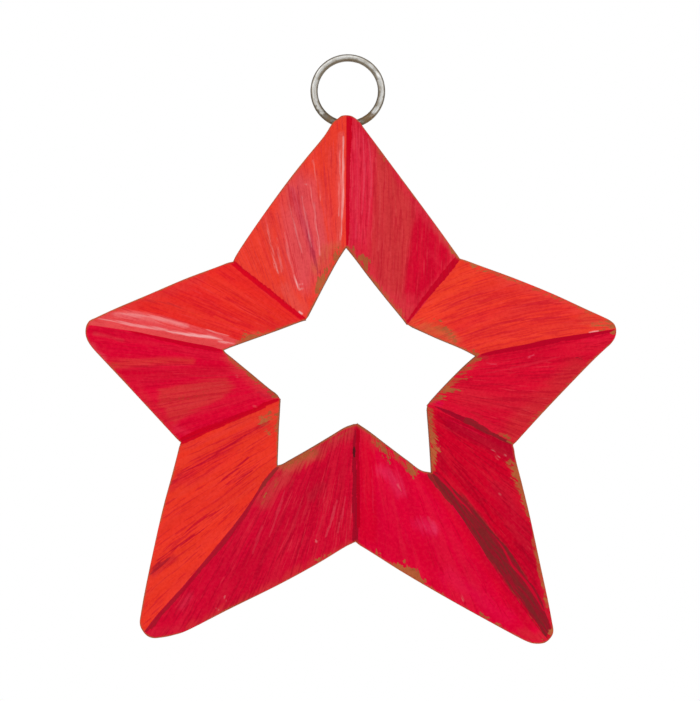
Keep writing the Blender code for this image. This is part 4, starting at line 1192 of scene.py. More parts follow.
    # paint stands proud of the steel, ridged by the brush
    ridges = t.math("ADD", t.math("MULTIPLY", bristle, 0.30), t.math("MULTIPLY", hair, 0.18))
    ridges = t.math("ADD", ridges, t.math("MULTIPLY", t.step(strip, -0.1, 0.3), 0.20))
    ridges = t.math("ADD", ridges, t.math("MULTIPLY", pale_line, 0.10))
    covered = t.math("SUBTRACT", 1.0, bare)
    height = t.math("ADD", t.math("MULTIPLY", covered, t.math("ADD", 0.45, ridges)), t.math("MULTIPLY", steel_height, 0.12))
    height = t.math("ADD", height, t.math("MULTIPLY", grain, 0.05))
    return t.finish(colour, rough, height, 0.00005, specular=0.01)


def back_material():
    """The unpainted back: browned sheet with mill scale, flux stains and a little wrapped-over paint."""
    t = Tree("browned_back")
    geometry = t.node("ShaderNodeTexCoord").outputs["Object"]
    heat, edge, side = t.split(t.attr("back").outputs["Vector"])
    colour, rough, height = brown_steel(t, geometry, 0.8)
    scale = t.noise(t.vec("MULTIPLY", geometry, (1.0, 1.0, 0.35)), 130.0, 5.0, 0.65)
    colour = t.mix(t.step(scale, 0.50, 0.62, 0.0, 0.55), colour, rgb((122, 62, 44)))
    colour = t.mix(t.step(scale, 0.36, 0.28, 0.0, 0.45), colour, rgb((198, 118, 74)))
    pit = t.noise(geometry, 1700.0, 2.0, 0.5)
    colour = t.mix(t.step(pit, 0.64, 0.72, 0.0, 0.6), colour, rgb((84, 46, 38)))
    # heat and flux round the solder
    cloud = t.noise(geometry, 160.0, 4.0, 0.6)
    near_heat = t.math("ADD", heat, t.centred(cloud, 0.7))
    colour = t.mix(t.step(near_heat, 0.25, 0.8, 0.0, 0.55), colour, rgb((92, 66, 60)))
    colour = t.mix(t.step(near_heat, 0.75, 1.0, 0.0, 0.35), colour, rgb((140, 120, 104)))
    # paint that wrapped round the rim
    wrap = t.math("ADD", t.math("SUBTRACT", 0.9, edge), t.centred(cloud, 2.6))
    colour = t.mix(t.step(wrap, 0.3, 0.7, 0.0, 0.75), colour, rgb((188, 30, 40)))
    rough = t.math("ADD", rough, t.centred(scale, 0.12))
    height = t.math("ADD", height, t.math("MULTIPLY", t.step(pit, 0.60, 0.74), -0.5))
    height = t.math("ADD", height, t.math("MULTIPLY", scale, 0.5))
    return t.finish(colour, rough, height, 0.00008, specular=0.3)


def edge_material():
    """The cut edge of the sheet: dark and rubbed."""
    t = Tree("cut_edge")
    geometry = t.node("ShaderNodeTexCoord").outputs["Object"]
    fine = t.noise(geometry, 1400.0, 3.0, 0.6)
    cloud = t.noise(geometry, 140.0, 3.0, 0.6)
    colour = t.mix(t.step(fine, 0.3, 0.7), rgb((116, 60, 40)), rgb((158, 82, 50)))
    colour = t.mix(t.step(cloud, 0.52, 0.66, 0.0, 0.5), colour, rgb((176, 60, 48)))
    return t.finish(colour, t.step(fine, 0.2, 0.8, 0.45, 0.7), fine, 0.00006, specular=0.3)


def solder_material():
    t = Tree("dull_solder_worn")
    geometry = t.node("ShaderNodeTexCoord").outputs["Object"]
    cloud = t.noise(geometry, 220.0, 4.0, 0.6)
    fine = t.noise(geometry, 1500.0, 3.0, 0.6)
    colour = t.mix(t.step(cloud, 0.35, 0.65), rgb((150, 148, 142)), rgb((112, 108, 102)))
    colour = t.mix(t.step(fine, 0.56, 0.72, 0.0, 0.6), colour, rgb((92, 74, 60)))
    rough = t.step(fine, 0.2, 0.8, 0.30, 0.60)
    height = t.math("ADD", t.math("MULTIPLY", cloud, 0.8), t.math("MULTIPLY", fine, 0.25))
    return t.finish(colour, rough, height, 0.00012, specular=0.5, metallic=0.75)


def strap_material():
    t = Tree("browned_strap")
    geometry = t.node("ShaderNodeTexCoord").outputs["Object"]
    colour, rough, height = brown_steel(t, geometry, 1.3)
    scale = t.noise(geometry, 420.0, 4.0, 0.6)
    colour = t.mix(t.step(scale, 0.42, 0.62, 0.0, 0.8), colour, rgb((84, 52, 40)))
    colour = t.mix(t.step(scale, 0.66, 0.74, 0.0, 0.6), colour, rgb((150, 140, 128)))
    return t.finish(colour, t.math("SUBTRACT", rough, 0.08), height, 0.00008, specular=0.4, metallic=0.25)


def ring_material():
    """Bright-drawn wire gone dull: painted shade along its inner and outer edges, grime and specks, brown tint by the
    star.
    """
    t = Tree("worn_ring_steel")
    geometry = t.node("ShaderNodeTexCoord").outputs["Object"]
    run, grime_and_edge_shade, heat = t.split(t.attr("ring").outputs["Vector"])
    lay = t.attr("lay").outputs["Vector"]
    lines = t.noise(t.vec("MULTIPLY", lay, (0.22, 6.0, 1.0)), 1.0, 2.0, 0.6)
    cloud = t.noise(geometry, 420.0, 3.0, 0.6)
    fine = t.noise(geometry, 1800.0, 2.0, 0.6)
    speck = t.noise(geometry, 1050.0, 2.0, 0.5)
    colour = t.mix(t.step(lines, 0.35, 0.68), rgb((250, 250, 248)), rgb((204, 198, 186)))
    colour = t.mix(t.step(cloud, 0.48, 0.70, 0.0, 0.45), colour, rgb((176, 164, 144)))
    # painted shade: the wire's inner and outer edges turned brown-grey
    side = t.math("ADD", run, t.math("ADD", t.centred(cloud, 0.45), t.centred(lines, 0.3)))
    colour = t.mix(t.step(side, 0.10, 0.90, 0.0, 0.92), colour, rgb((112, 98, 78)))
    # grime by the star, with painted shade on parts of the wire's edges
    dirt_and_edge_shade = t.math("ADD", grime_and_edge_shade, t.math("ADD", t.centred(speck, 2.2), t.centred(cloud, 1.2)))
    colour = t.mix(t.step(dirt_and_edge_shade, 0.30, 1.20, 0.0, 0.80), colour, rgb((92, 80, 62)))
    tarnish = t.math("ADD", heat, t.centred(cloud, 1.0))
    colour = t.mix(t.step(tarnish, 0.15, 0.95, 0.0, 0.80), colour, rgb((132, 104, 70)))
    rough = t.math("ADD", 0.26, t.math("ADD", t.centred(lines, 0.14), t.math("MULTIPLY", t.step(dirt_and_edge_shade, 0.4, 0.8), 0.3)))
    rough = t.math("ADD", rough, t.centred(fine, 0.10))
    height = t.math("ADD", t.math("MULTIPLY", lines, 0.5), t.math("MULTIPLY", fine, 0.25))
    height = t.math("SUBTRACT", height, t.math("MULTIPLY", t.step(dirt_and_edge_shade, 0.4, 0.8), 0.3))
    return t.finish(colour, rough, height, 0.00002, specular=0.5, metallic=0.9)


PAINT_MAT, BACK_MAT, EDGE_MAT = paint_material(), back_material(), edge_material()
SOLDER_MAT, STRAP_MAT, RING_MAT = solder_material(), strap_material(), ring_material()


# --------------------------------------------------------------- star points
def plane_normal(facet):
    """Mean direction of a facet's front beside its valley."""
    u, v = np.meshgrid(np.linspace(0.86, 0.99, 8), np.linspace(0.1, 0.9, 8), indexing="ij")
    return unit(facet.normal(u, v).reshape(-1, 3).mean(axis=0))


class Valley:
    """Where a point's clockwise facet runs under the next point's first facet."""

    def __init__(self, notch, before, after):
        self.before, self.after = facets[before], facets[after]
        line = self.before.valley
        self.start, self.end = line[0], line[-1]
        self.along = unit(self.end - self.start)
        self.next_normal, self.prev_normal = plane_normal(self.after), plane_normal(self.before)
        into = self.after.at(0.8, 0.5) - self.after.at(1.0, 0.5)
        self.into_next = unit(into - self.along * (into @ self.along))
        back = self.before.at(0.8, 0.5) - self.before.at(1.0, 0.5)
        self.beyond = -unit(back - self.along * (back @ self.along))
        self.sine = float(self.into_next @ self.prev_normal)
        self.cosine = float(self.next_normal @ self.prev_normal)
        self.reach = (SHEET + HAIR) / -float(self.beyond @ self.next_normal)
        self.bend = self.reach * float(self.beyond @ self.into_next)

    def behind(self, w, v, depth):
        """A place this far into the next facet from the valley, this deep behind its front."""
        width = self.after.rim_len + (self.after.inner_len - self.after.rim_len) * v
        u = 1.0 - w / width
        return self.after.at(u, v) - self.after.normal(u, v) * (depth if np.isscalar(depth) else depth[..., None])


valleys = {}
for k, (point, before, after) in enumerate(AROUND):
    following = AROUND[(k + 1) % 5][0]
    valleys[after] = Valley(after, TIPS[point][3], TIPS[following][2])

STEP = 0.56 * MM


def columns_of(length, cut):
    """Shares from ridge (0) to valley (1), closer together at both."""
    close = [0, 0.2, 0.4, 0.6, 0.8, 1.0, 1.25, 1.55, 1.95]
    total = length / MM
    count = max(int((total - 1.95 - 1.2) / (STEP / MM)), 4)
    middle = np.linspace(1.95, total - 1.2, count + 1)[1:]
    tail = [total - 0.8, total - 0.45, total - 0.2]
    d = np.concatenate((close, middle, tail, [total - cut / MM]))
    return d / total


def rows_of(length):
    total = length / MM
    head = [0, 0.15, 0.4, 0.8]
    count = max(int((total - 1.6) / (STEP / MM)), 4)
    middle = np.linspace(0.8, total - 0.8, count + 1)[1:]
    return np.concatenate((head, middle, [total - 0.4, total - 0.15, total])) / total


def strip_faces(a, b, flip=False):
    """Quads between two matching loops of vertex numbers."""
    n = np.stack((a, np.roll(a, -1), np.roll(b, -1), b), -1)
    return n[:, ::-1] if flip else n


def build_point(index):
    point, before, after = AROUND[index]
    first, second = facets[TIPS[point][2]], facets[TIPS[point][3]]
    vb, va = valleys[before], valleys[after]
    height = 0.25 * (first.ridge_len + first.valley_len + second.ridge_len + second.valley_len)
    v = rows_of(height)
    rows = len(v)
    clear = 0.03 * MM / vb.sine
    u1 = columns_of(first.rim_len, clear)[::-1]
    u2 = columns_of(second.rim_len, 0.0)
    front, owner = [], []
    for u in u1:
        front.append(first.at(np.full(rows, u), v))
        owner.append(0)
    ridge = len(u1) - 1
    for u in u2[1:]:
        front.append(second.at(np.full(rows, u), v))
        owner.append(1)
    painted = len(front) - 1
    # the flange: on past the valley, then along the back of the next point
    line = front[-1]
    w_list = va.bend + np.array((0.0, 0.25, 0.7, 1.2, 1.8, 2.4, 3.0, 3.5, 3.85, 4.0)) * MM * (FLANGE / (4.0 * MM))
    bend_row = None
    for k, w in enumerate(w_list):
        share = k / (len(w_list) - 1)
        lo, hi = 0.018 + 0.025 * share, 0.93 - 0.04 * share
        p = va.behind(w, lo + (hi - lo) * v, SHEET + HAIR)
        if k == 0:
            bend_row = p
            for s in (0.35, 0.7):
                front.append(line + (bend_row - line) * s)
                owner.append(1)
        front.append(p)
        owner.append(1)
    f = np.array(front)
    cols = len(f)
    # round the ridge and the flange's bend
    for middle, span, passes in ((ridge, 7, 9), (painted + 3, 2, 2)):
        for _ in range(passes):
            lo, hi = max(middle - span, 1), min(middle + span, cols - 2)
            i = np.arange(lo, hi + 1)
            weight = (1.0 - (np.abs(i - middle) / (span + 1.0)) ** 2)[:, None, None] * 0.5
            f[i] = f[i] + weight * (0.5 * (f[i - 1] + f[i + 1]) - f[i])
    # normals of the gaps on either side of each column, then mitred ones
    dv = np.gradient(f, axis=1)
    gap = np.cross(f[1:] - f[:-1], 0.5 * (dv[1:] + dv[:-1]))
    gap = unit(gap)
    gap = np.where(gap[..., 1:2] > 0, -gap, gap)
    left = np.concatenate((gap[:1], gap))
    right = np.concatenate((gap, gap[-1:]))
    mitre = (left + right) / (1.0 + (left * right).sum(-1, keepdims=True))
    n = unit(left + right)
    back = f - mitre * SHEET
    # the cut edge in the valley leans clear of the sheet it laps
    lean = (0.03 * MM + SHEET * vb.cosine) / vb.sine - clear
    away = np.linalg.norm(f - f[0:1], axis=-1)
    push = np.clip(1.0 - away / (4.5 * MM), 0, 1) * lean
    row_way = unit(f[3] - f[0])
    gain = 1.0 / np.clip((row_way * vb.into_next).sum(-1), 0.5, 1.0)
    back = back + (row_way * gain[:, None])[None] * push[..., None]

    number = np.arange(cols * rows).reshape(cols, rows)
    loop = np.concatenate((number[:, 0], number[-1, 1:], number[-2::-1, -1], number[0, -2:0:-1]))
    ci, ri = loop // rows, loop % rows
    pf, pn = f[ci, ri], mitre[ci, ri]
    tangent = unit(np.roll(pf, -1, axis=0) - np.roll(pf, 1, axis=0))
    out = unit(np.cross(tangent, n[ci, ri]))
    sample = cols // 3
    inward = f[sample, 1] - f[sample, 0]
    if out[sample] @ inward > 0:
        out = -out
    deep = (back[ci, ri] - pf) / SHEET     # per metre of depth, lean included
    r = np.where(ci == 0, 0.02 * MM, CORNER)[:, None]
    rings = [
        pf - out * r * 0.29 + deep * r * 0.29,
        pf + deep * r,
        pf + deep * (SHEET - r),
        pf - out * r * 0.29 + deep * (SHEET - r * 0.29),
    ]
    f[ci, ri] = pf - out * r
    back[ci, ri] = pf - out * r + deep * SHEET

    total = cols * rows
    m = len(loop)
    verts = np.concatenate((f.reshape(-1, 3), back.reshape(-1, 3), *rings))
    ring_ids = [2 * total + k * m + np.arange(m) for k in range(4)]

    quads = np.stack((number[:-1, :-1], number[:-1, 1:], number[1:, 1:], number[1:, :-1]), -1)
    qi = np.repeat(np.arange(cols - 1), rows - 1)
    front_faces = quads.reshape(-1, 4)
    back_faces = front_faces[:, ::-1] + total
    edge_faces = [
        strip_faces(loop, ring_ids[0]),
        strip_faces(ring_ids[0], ring_ids[1]),
        strip_faces(ring_ids[1], ring_ids[2]),
        strip_faces(ring_ids[2], ring_ids[3]),
        strip_faces(ring_ids[3], loop + total),
    ]
    # which way round makes the front face forwards
    a, b, c = (verts[front_faces[len(front_faces) // 2][k]] for k in (0, 1, 2))
    if np.cross(b - a, c - b)[1] > 0:
        front_faces, back_faces = front_faces[:, ::-1], back_faces[:, ::-1]
    # the rim strips turn with the front: compare with the outward direction
    e = edge_faces[2][sample]
    a, b, c = (verts[e[k]] for k in (0, 1, 2))
    if np.cross(b - a, c - b) @ out[sample] < 0:
        edge_faces = [g[:, ::-1] for g in edge_faces]
    faces = np.concatenate((front_faces, back_faces, *edge_faces))
    slots = np.concatenate(
        (np.zeros(len(front_faces)), np.full(len(back_faces), 1), np.full(sum(map(len, edge_faces)), 2))
    ).astype(int)
    # the first strip of the rounded corner still carries paint, and in the valley it fills the lap
    start = len(front_faces) + len(back_faces)
    slots[start : start + m] = 0
    lap = np.nonzero(ci == 0)[0]
    for k in range(4):
        slots[start + k * m + lap] = 0

    # attributes: evaluated for each facet on its own, so the folds stay crisp
    place = to_drawn(f)
    data = {}
    flange_from = painted
    outline = [
        np.vstack((first.drawn_rim[::-1], second.drawn_rim)),
        np.vstack((first.drawn_inner[::-1], second.drawn_inner)),
    ]
    distance = np.minimum(near(place, outline[0][::6])[0], near(place, outline[1][::6])[0]) * 0.3832
    for which, facet in ((0, first), (1, second)):
        got = paint_facet(facet.name, place)
        got["worn"][..., 2] = distance
        data[which] = {key: value.reshape(total, 3) for key, value in got.items()}
    # which facet each face belongs to
    owner_gap = np.array([0 if i < ridge else 1 for i in range(cols - 1)])
    hidden = np.array([1 if i >= flange_from + 4 else 0 for i in range(cols - 1)])
    belongs = np.concatenate((owner_gap[qi], owner_gap[qi], *[np.where(ci < ridge, 0, 1)] * 5))
    tucked = np.concatenate((hidden[qi], hidden[qi], *[np.where(ci > painted + 4, 1, 0)] * 5))
    # every vertex, wherever it is on the sheet, maps to a grid vertex
    source = np.concatenate((np.arange(total), np.arange(total), *[loop] * 4))
    corners = source[faces]
    corner = {}
    kinds = {"flow": "VECTOR", "tint": "COLOR", "dark": "COLOR", "stroke": "COLOR", "strip": "COLOR", "marks": "VECTOR",
             "worn": "VECTOR", "pale": "VECTOR", "dense": "VECTOR"}
    for key, kind in kinds.items():
        values = np.where(belongs[:, None, None] == 0, data[0][key][corners], data[1][key][corners])
        if key == "worn":
            values = values.copy()
            values[..., 0] = np.where(tucked[:, None] == 1, 1.0, values[..., 0])
        corner[key] = (kind, values)
    # heat from the solder, and how near the edge, for the back
    va_line = to_drawn(np.stack((va.start, va.end)))
    vb_line = to_drawn(np.stack((vb.start, vb.end)))
    warm = np.maximum(
        1.0 - near(place, va_line)[0] / 26.0,
        1.0 - np.abs(near(place, vb_line)[0] - 12.0) / 20.0,
    )
    if point == "top":
        warm = np.maximum(warm, 1.0 - near(place, np.array(((346.0, 135.0), (346.0, 172.0))))[0] / 24.0)
    warm = np.clip(warm, 0, 1).reshape(-1)
    near_edge = distance.reshape(-1)
    corner["back"] = ("VECTOR", np.stack((warm[corners], near_edge[corners], np.zeros(corners.shape)), -1))

    obj = make(
        "visual_point_" + point, to_world(verts), faces, [PAINT_MAT, BACK_MAT, EDGE_MAT], slots, corner, smooth=True, sharp=40
    )
    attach(obj, "star")
    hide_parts("point_" + point)
    return obj


for k in range(5):
    build_point(k)


# ------------------------------------------------------------------- solder
def tube(name, sections, mat, closed_ends=True):
    """A body lofted through rounded sections, each a closed row of points."""
    sections = np.asarray(sections, float)
    count, around = sections.shape[:2]
    verts = sections.reshape(-1, 3)
    ids = np.arange(count * around).reshape(count, around)
    faces = []
    for k in range(count - 1):
        faces.append(strip_faces(ids[k], ids[k + 1]))
    faces = np.concatenate(faces)
    extra = []
    if closed_ends:
        verts = np.vstack((verts, sections[0].mean(axis=0), sections[-1].mean(axis=0)))
        low, high = len(verts) - 2, len(verts) - 1
        for i in range(around):
            n = (i + 1) % around
            extra.append((int(ids[0][n]), int(ids[0][i]), low))
            extra.append((int(ids[-1][i]), int(ids[-1][n]), high))
    all_faces = [tuple(map(int, q)) for q in faces] + extra
    # turn everything outwards
    v = np.asarray(verts)
    volume = 0.0
    for q in all_faces:
        for a in range(1, len(q) - 1):
            volume += float(np.dot(v[q[0]], np.cross(v[q[a]], v[q[a + 1]])))
    if volume < 0:
        all_faces = [q[::-1] for q in all_faces]
    return verts, all_faces


NOTCH_NAMES = {"UR": "upper_right", "R": "right", "B": "bottom", "L": "left", "UL": "upper_left"}


def build_seam(key, seed):
    """Solder run along the end of a flange: wet on both sheets, swelling and thinning."""
    v = valleys[key]
    end = v.bend + FLANGE
    t_list = np.linspace(0.075, 0.865, 110)
    sections = []
    for t in t_list:
        share = (t - t_list[0]) / (t_list[-1] - t_list[0])
        lo, hi = 0.043, 0.895
        at = t
        swell = 0.78 + 0.45 * float(vnoise(np.array(share * 13.0), np.array(0.5), seed)) + 0.16 * math.sin(41 * share + seed)
        wander = 0.25 * MM * (float(vnoise(np.array(share * 7.0), np.array(3.5), seed + 9)) - 0.5)
        taper = float(smoothstep(0, 0.05, np.array(share)) * smoothstep(0, 0.05, np.array(1 - share))) * 0.9 + 0.1
        lap = 2 * SHEET + HAIR
        h = swell * taper
        w = end + wander
        profile = [
            (w - 1.7 * MM * swell, lap + 0.01 * MM),
            (w - 1.1 * MM * swell, lap + 0.15 * MM * h),
            (w - 0.5 * MM, lap + 0.27 * MM * h),
            (w + 0.1 * MM, lap + 0.24 * MM * h),
            (w + 0.6 * MM, lap - 0.12 * MM + 0.16 * MM * h),
            (w + 1.1 * MM, SHEET + 0.38 * MM * h),
            (w + 1.7 * MM * swell, SHEET + 0.17 * MM * h),
            (w + 2.3 * MM * swell, SHEET + 0.01 * MM),
            (w + 1.2 * MM, SHEET - 0.03 * MM),
            (end + 0.10 * MM, SHEET - 0.03 * MM),
            (end + 0.06 * MM, lap - 0.25 * MM),
            (end - 0.1 * MM, lap - 0.03 * MM),
            (w - 0.9 * MM, lap - 0.03 * MM),
        ]
        ww = np.array([p[0] for p in profile])
        dd = np.array([p[1] for p in profile])
        tt = lo + (hi - lo) * np.full(len(ww), at)
        sections.append(v.behind(ww, tt, dd))
    verts, faces = tube("seam", sections, SOLDER_MAT)
    name = NOTCH_NAMES[key]
    obj = make("visual_seam_" + name, to_world(verts), faces, [SOLDER_MAT], smooth=True, sharp=60)
    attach(obj, "star")
    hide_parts("seam_" + name)


for k, key in enumerate(("UR", "R", "B", "L", "UL")):
    build_seam(key, 11 + 5 * k)

# ------------------------------------------------------------- hanger strap
STRAP_WIDTH, STRAP_THICK, STRAP_LOOP, STRAP_FLAT = 4.6 * MM, 0.6 * MM, 1.78 * MM, 2.9 * MM
FOOT_TOP, FOOT_END, PUDDLE_END = -6.0 * MM, -12.0 * MM, -15.6 * MM
TOP_FLANKS = (facets["TL"], facets["TR"])


def top_plane(facet):
    u, v = np.meshgrid(np.linspace(0.02, 0.35, 8), np.linspace(0.05, 0.45, 8), indexing="ij")
    n = unit(facet.normal(u, v).reshape(-1, 3).mean(axis=0))
    return n, facet.at(u, v).reshape(-1, 3).mean(axis=0) - n * SHEET


FLANK = [top_plane(f) for f in TOP_FLANKS]


def hollow(x, z):
    return max(p[1] - (n[0] * (x - p[0]) + n[2] * (z - p[2])) / n[1] for n, p in FLANK)


def seat(z):
    return max(hollow(-STRAP_WIDTH / 2, z), hollow(STRAP_WIDTH / 2, z)) + 0.25 * MM


def path_points():
    mid, thick = STRAP_LOOP + STRAP_THICK / 2, STRAP_THICK
    rest = 0.04 * MM
    pts = [np.array((seat(z) + thick / 2, z)) for z in np.linspace(FOOT_END, FOOT_TOP, 8)]
    pts += [np.array((pts[-1][0] + (-mid - pts[-1][0]) * t, FOOT_TOP + (-0.6 * MM - FOOT_TOP) * t)) for t in np.linspace(0.15, 1.0, 10)]
    for k in range(33):
        a = math.pi - math.pi * k / 32
        pts.append(np.array((mid * math.cos(a), mid * math.sin(a))))
    pts += [np.array((mid, -STRAP_FLAT * t)) for t in np.linspace(0.2, 1.0, 6)]
    second = thick * 1.5 + rest
    knee = FOOT_TOP - 0.9 * MM
    target = np.array((seat(knee) + second, knee))
    last = pts[-1]
    pts += [last + (target - last) * t for t in np.linspace(0.12, 1.0, 9)]
    foot = FOOT_END + 0.5 * MM
    pts += [np.array((seat(z) + second, z)) for z in np.linspace(knee, foot, 9)[1:]]
    return np.array(pts)


def build_strap():
    path = path_points()
    for _ in range(3):      # ease the bends
        path[1:-1] = 0.25 * path[:-2] + 0.5 * path[1:-1] + 0.25 * path[2:]
    tangent = unit(np.gradient(path, axis=0))
    across = np.stack((-tangent[:, 1], tangent[:, 0]), -1)
    # rounded strip section: x across, q through the thickness
    half, th, r = STRAP_WIDTH / 2, STRAP_THICK / 2, 0.14 * MM
    outline = []
    for sx, sq, a0 in ((1, 1, 0), (-1, 1, 90), (-1, -1, 180), (1, -1, 270)):
        for k in range(4):
            a = math.radians(a0 + 90 * k / 3)
            outline.append((sx * (half - r) + r * math.cos(a), sq * (th - r) + r * math.sin(a)))
    dense = []
    for k, (x, q) in enumerate(outline):
        nx, nq = outline[(k + 1) % len(outline)]
        dense.append((x, q))
        if abs(nx - x) > 1.0 * MM:
            dense += [(x + (nx - x) * s / 8, q + (nq - q) * s / 8) for s in range(1, 8)]
    sections = []
    count = len(path)
    for k, (p, n) in enumerate(zip(path, across)):
        # snipped ends, and edges a little uneven from the shears
        narrow = 1.0 - 0.10 * max(0.0, 1.0 - min(k, count - 1 - k) / 2.5)
        uneven = 1.0 + 0.010 * math.sin(0.55 * k) + 0.008 * math.sin(1.7 * k + 1.0)
        sections.append([(x * narrow * uneven, p[0] + n[0] * q, p[1] + n[1] * q) for x, q in dense])
    verts, faces = tube("strap", sections, STRAP_MAT)
    obj = make("visual_hanger_strap", to_world(verts), faces, [STRAP_MAT], smooth=True, sharp=45)
    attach(obj, "star")
    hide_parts("hanger_strap")


build_strap()


def flank_x(side, y, z, off=0.02 * MM):
    n, p = FLANK[0 if side < 0 else 1]
    p = p - n * off
    return p[0] - (n[1] * (y - p[1]) + n[2] * (z - p[2])) / n[0]


def crotch(z, off=0.02 * MM):
    (na, pa), (nb, pb) = FLANK
    pa, pb = pa - na * off, pb - nb * off
    a = np.array(((na[0], na[1]), (nb[0], nb[1])))
    b = np.array((na @ pa - na[2] * z, nb @ pb - nb[2] * z))
    return np.linalg.solve(a, b)


def build_puddle():
    """Solder in the hollow of the top point: under the strap's foot, then a domed puddle below it."""
    stations = []
    for z in np.linspace(FOOT_TOP - 0.4 * MM, FOOT_END + 0.1 * MM, 14):
        stations.append((z, -0.22, 0.0))
    for s in np.linspace(0, 1, 26):
        z = FOOT_END - 0.05 * MM + (PUDDLE_END - FOOT_END) * s
        rise = 1.55 * (1 - s) ** 0.9 - 0.75 * s
        lump = 0.18 * math.sin(9 * s + 1.0) * (1 - s)
        stations.append((z, rise + lump - 0.1 * (s < 0.04) * 8, 0.35 * (1 - s)))
    sections = []
    for z, rise, dome in stations:
        y = seat(z) + rise * MM
        x0, x1 = flank_x(-1, y, z), flank_x(1, y, z)
        low = crotch(z)
        row = []
        for s in np.linspace(0, 1, 7):      # down the left flank, up the right
            row.append((x0 + (low[0] - x0) * s, y + (low[1] - y) * s, z))
        for s in np.linspace(0, 1, 7)[1:]:
            row.append((low[0] + (x1 - low[0]) * s, low[1] + (y - low[1]) * s, z))
        for s in np.linspace(1, 0, 12)[1:-1]:
            bulge = dome * MM * math.sin(math.pi * s) + 0.06 * MM * math.sin(7 * s + 900 * z) * (dome > 0)
            row.append((x0 + (x1 - x0) * s, y + bulge, z))
        sections.append(row)
    verts, faces = tube("puddle", sections, SOLDER_MAT)
    obj = make("visual_hanger_solder", to_world(verts), faces, [SOLDER_MAT], smooth=True, sharp=60)
    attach(obj, "star")
    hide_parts("hanger_solder")


build_puddle()

# --------------------------------------------------------------- split ring
RING_START, RING_CROSS = 35.0, 35.0
RING_CENTRE = np.array((0.0, 0.0, -(RING_MID_R - WIRE_HALF)))


def build_ring():
    """Two turns of half-round wire. The front turn's end is ground thin and rests where the wire dips to the rear."""
    around = 40
    turns, steps, under = 720.0 - RING_CROSS, 700, 14.0
    # wear holds, for each vertex: painted shade on the wire's inner and outer edges, grime by the star with painted
    # shade on parts of the edges, and heat tarnish
    sections, lay, wear = [], [], []

    def in_front_by(turned):
        """1 while the wire is the front turn, 0 once it is the rear one."""
        x = min(max((turned - (360.0 - RING_CROSS)) / (RING_CROSS + under), 0.0), 1.0)
        return 1.0 - 0.5 * x - 0.5 * x * x * (3 - 2 * x)

    for k in range(steps + 1):
        turned = turns * k / steps
        a = math.radians(RING_START - turned)
        front_share = in_front_by(turned)
        from_end = min(k, steps - k)
        shrink = 1.0 - 0.12 * max(0.0, 1.0 - from_end / 2.0) ** 2
        lift = (COIL_SPLIT + COIL_THICK) * in_front_by(360.0 + turned) + 0.02 * MM if turned < under else 0.0
        wobble = 0.015 * MM * math.sin(3 * a + 0.4)
        row = []
        for i in range(around):
            b = 2.0 * math.pi * (i + 0.5) / around
            c, s = math.cos(b), math.sin(b)
            share = math.copysign(abs(c) ** 0.92, c)
            r = share * WIRE_HALF * 0.98
            bulge = max(s, 0.0) ** 0.92
            if turned < under:
                # the end is ground off more on its outer half
                low = 0.62 if share < -0.1 else 0.62 - 0.50 * float(smoothstep(-0.1, 0.5, np.array(share)))
                bulge *= low + (1.0 - low) * float(smoothstep(0.0, under, np.array(turned)))
            base = -COIL_SPLIT - lift
            in_front = base - (COIL_THICK - lift) * bulge
            behind = COIL_SPLIT + COIL_THICK * max(-s, 0.0) ** 0.92
            y = in_front * front_share + behind * (1.0 - front_share)
            y_mid = (base - (COIL_THICK - lift) / 2) * front_share + (COIL_SPLIT + COIL_THICK / 2) * (1 - front_share)
            rr = RING_MID_R + r * shrink + wobble * (1.0 - share * share)
            yy = y_mid + (y - y_mid) * shrink
            row.append((rr * math.cos(a), yy, rr * math.sin(a)))
            lay.append((math.radians(turned) * RING_MID_R / MM, b * WIRE_HALF / MM * 1.2, 3.0))
            deg = math.degrees(a) % 360.0
            grime_and_edge_shade = 0.0
            # grime by the star; the entries that keep to one edge of the wire are painted shade there
            for at, span, much, low_r, high_r in (
                (238, 34, 1.7, -1.0, 1.0),      # by the star, left
                (214, 22, 1.0, 0.20, 1.0),      # lower left, outer edge
                (118, 30, 0.40, -1.0, -0.3),    # top left, inner edge
                (300, 32, 1.5, -1.0, 1.0),      # by the star, right
                (344, 18, 0.55, 0.55, 1.0),     # right, outer edge
                (180, 60, 0.25, 0.75, 1.0),
                (60, 70, 0.22, -1.0, -0.75),
            ):
                d = abs((deg - at + 180) % 360 - 180)
                if low_r <= share <= high_r:
                    grime_and_edge_shade = max(grime_and_edge_shade, much * max(0.0, 1.0 - d / span))
            heat = max(0.0, 1.0 - abs((deg - 303 + 180) % 360 - 180) / 24.0)
            heat = max(heat, 0.7 * max(0.0, 1.0 - abs((deg - 236 + 180) % 360 - 180) / 20.0))
            # painted shade: darker along the wire's inner and outer edges, a little less on the inner edge at the left
            inward = float(smoothstep(-0.25, 0.80, np.array(-share))) * (1.0 if 20 < deg < 160 or deg > 200 else 0.72)
            outer_edge_shade = float(smoothstep(0.10, 0.85, np.array(share)))
            wear.append((max(inward, outer_edge_shade * 0.85), grime_and_edge_shade, heat))
        sections.append(row)
    sections = np.array(sections) + RING_CENTRE
    verts, faces = tube("ring", sections, RING_MAT)
    lay = np.vstack((np.array(lay), lay[0], lay[-1]))
    wear = np.vstack((np.array(wear), (0.8, 0.5, 0.0), (0.8, 0.5, 0.0)))
    flat = [i for q in faces for i in q]
    obj = make(
        "visual_split_ring", verts, faces, [RING_MAT],
        corner={"lay": ("VECTOR", lay[flat]), "ring": ("VECTOR", wear[flat])}, smooth=True, sharp=50,
    )
    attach(obj, "ring")
    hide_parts("split_ring")


build_ring()

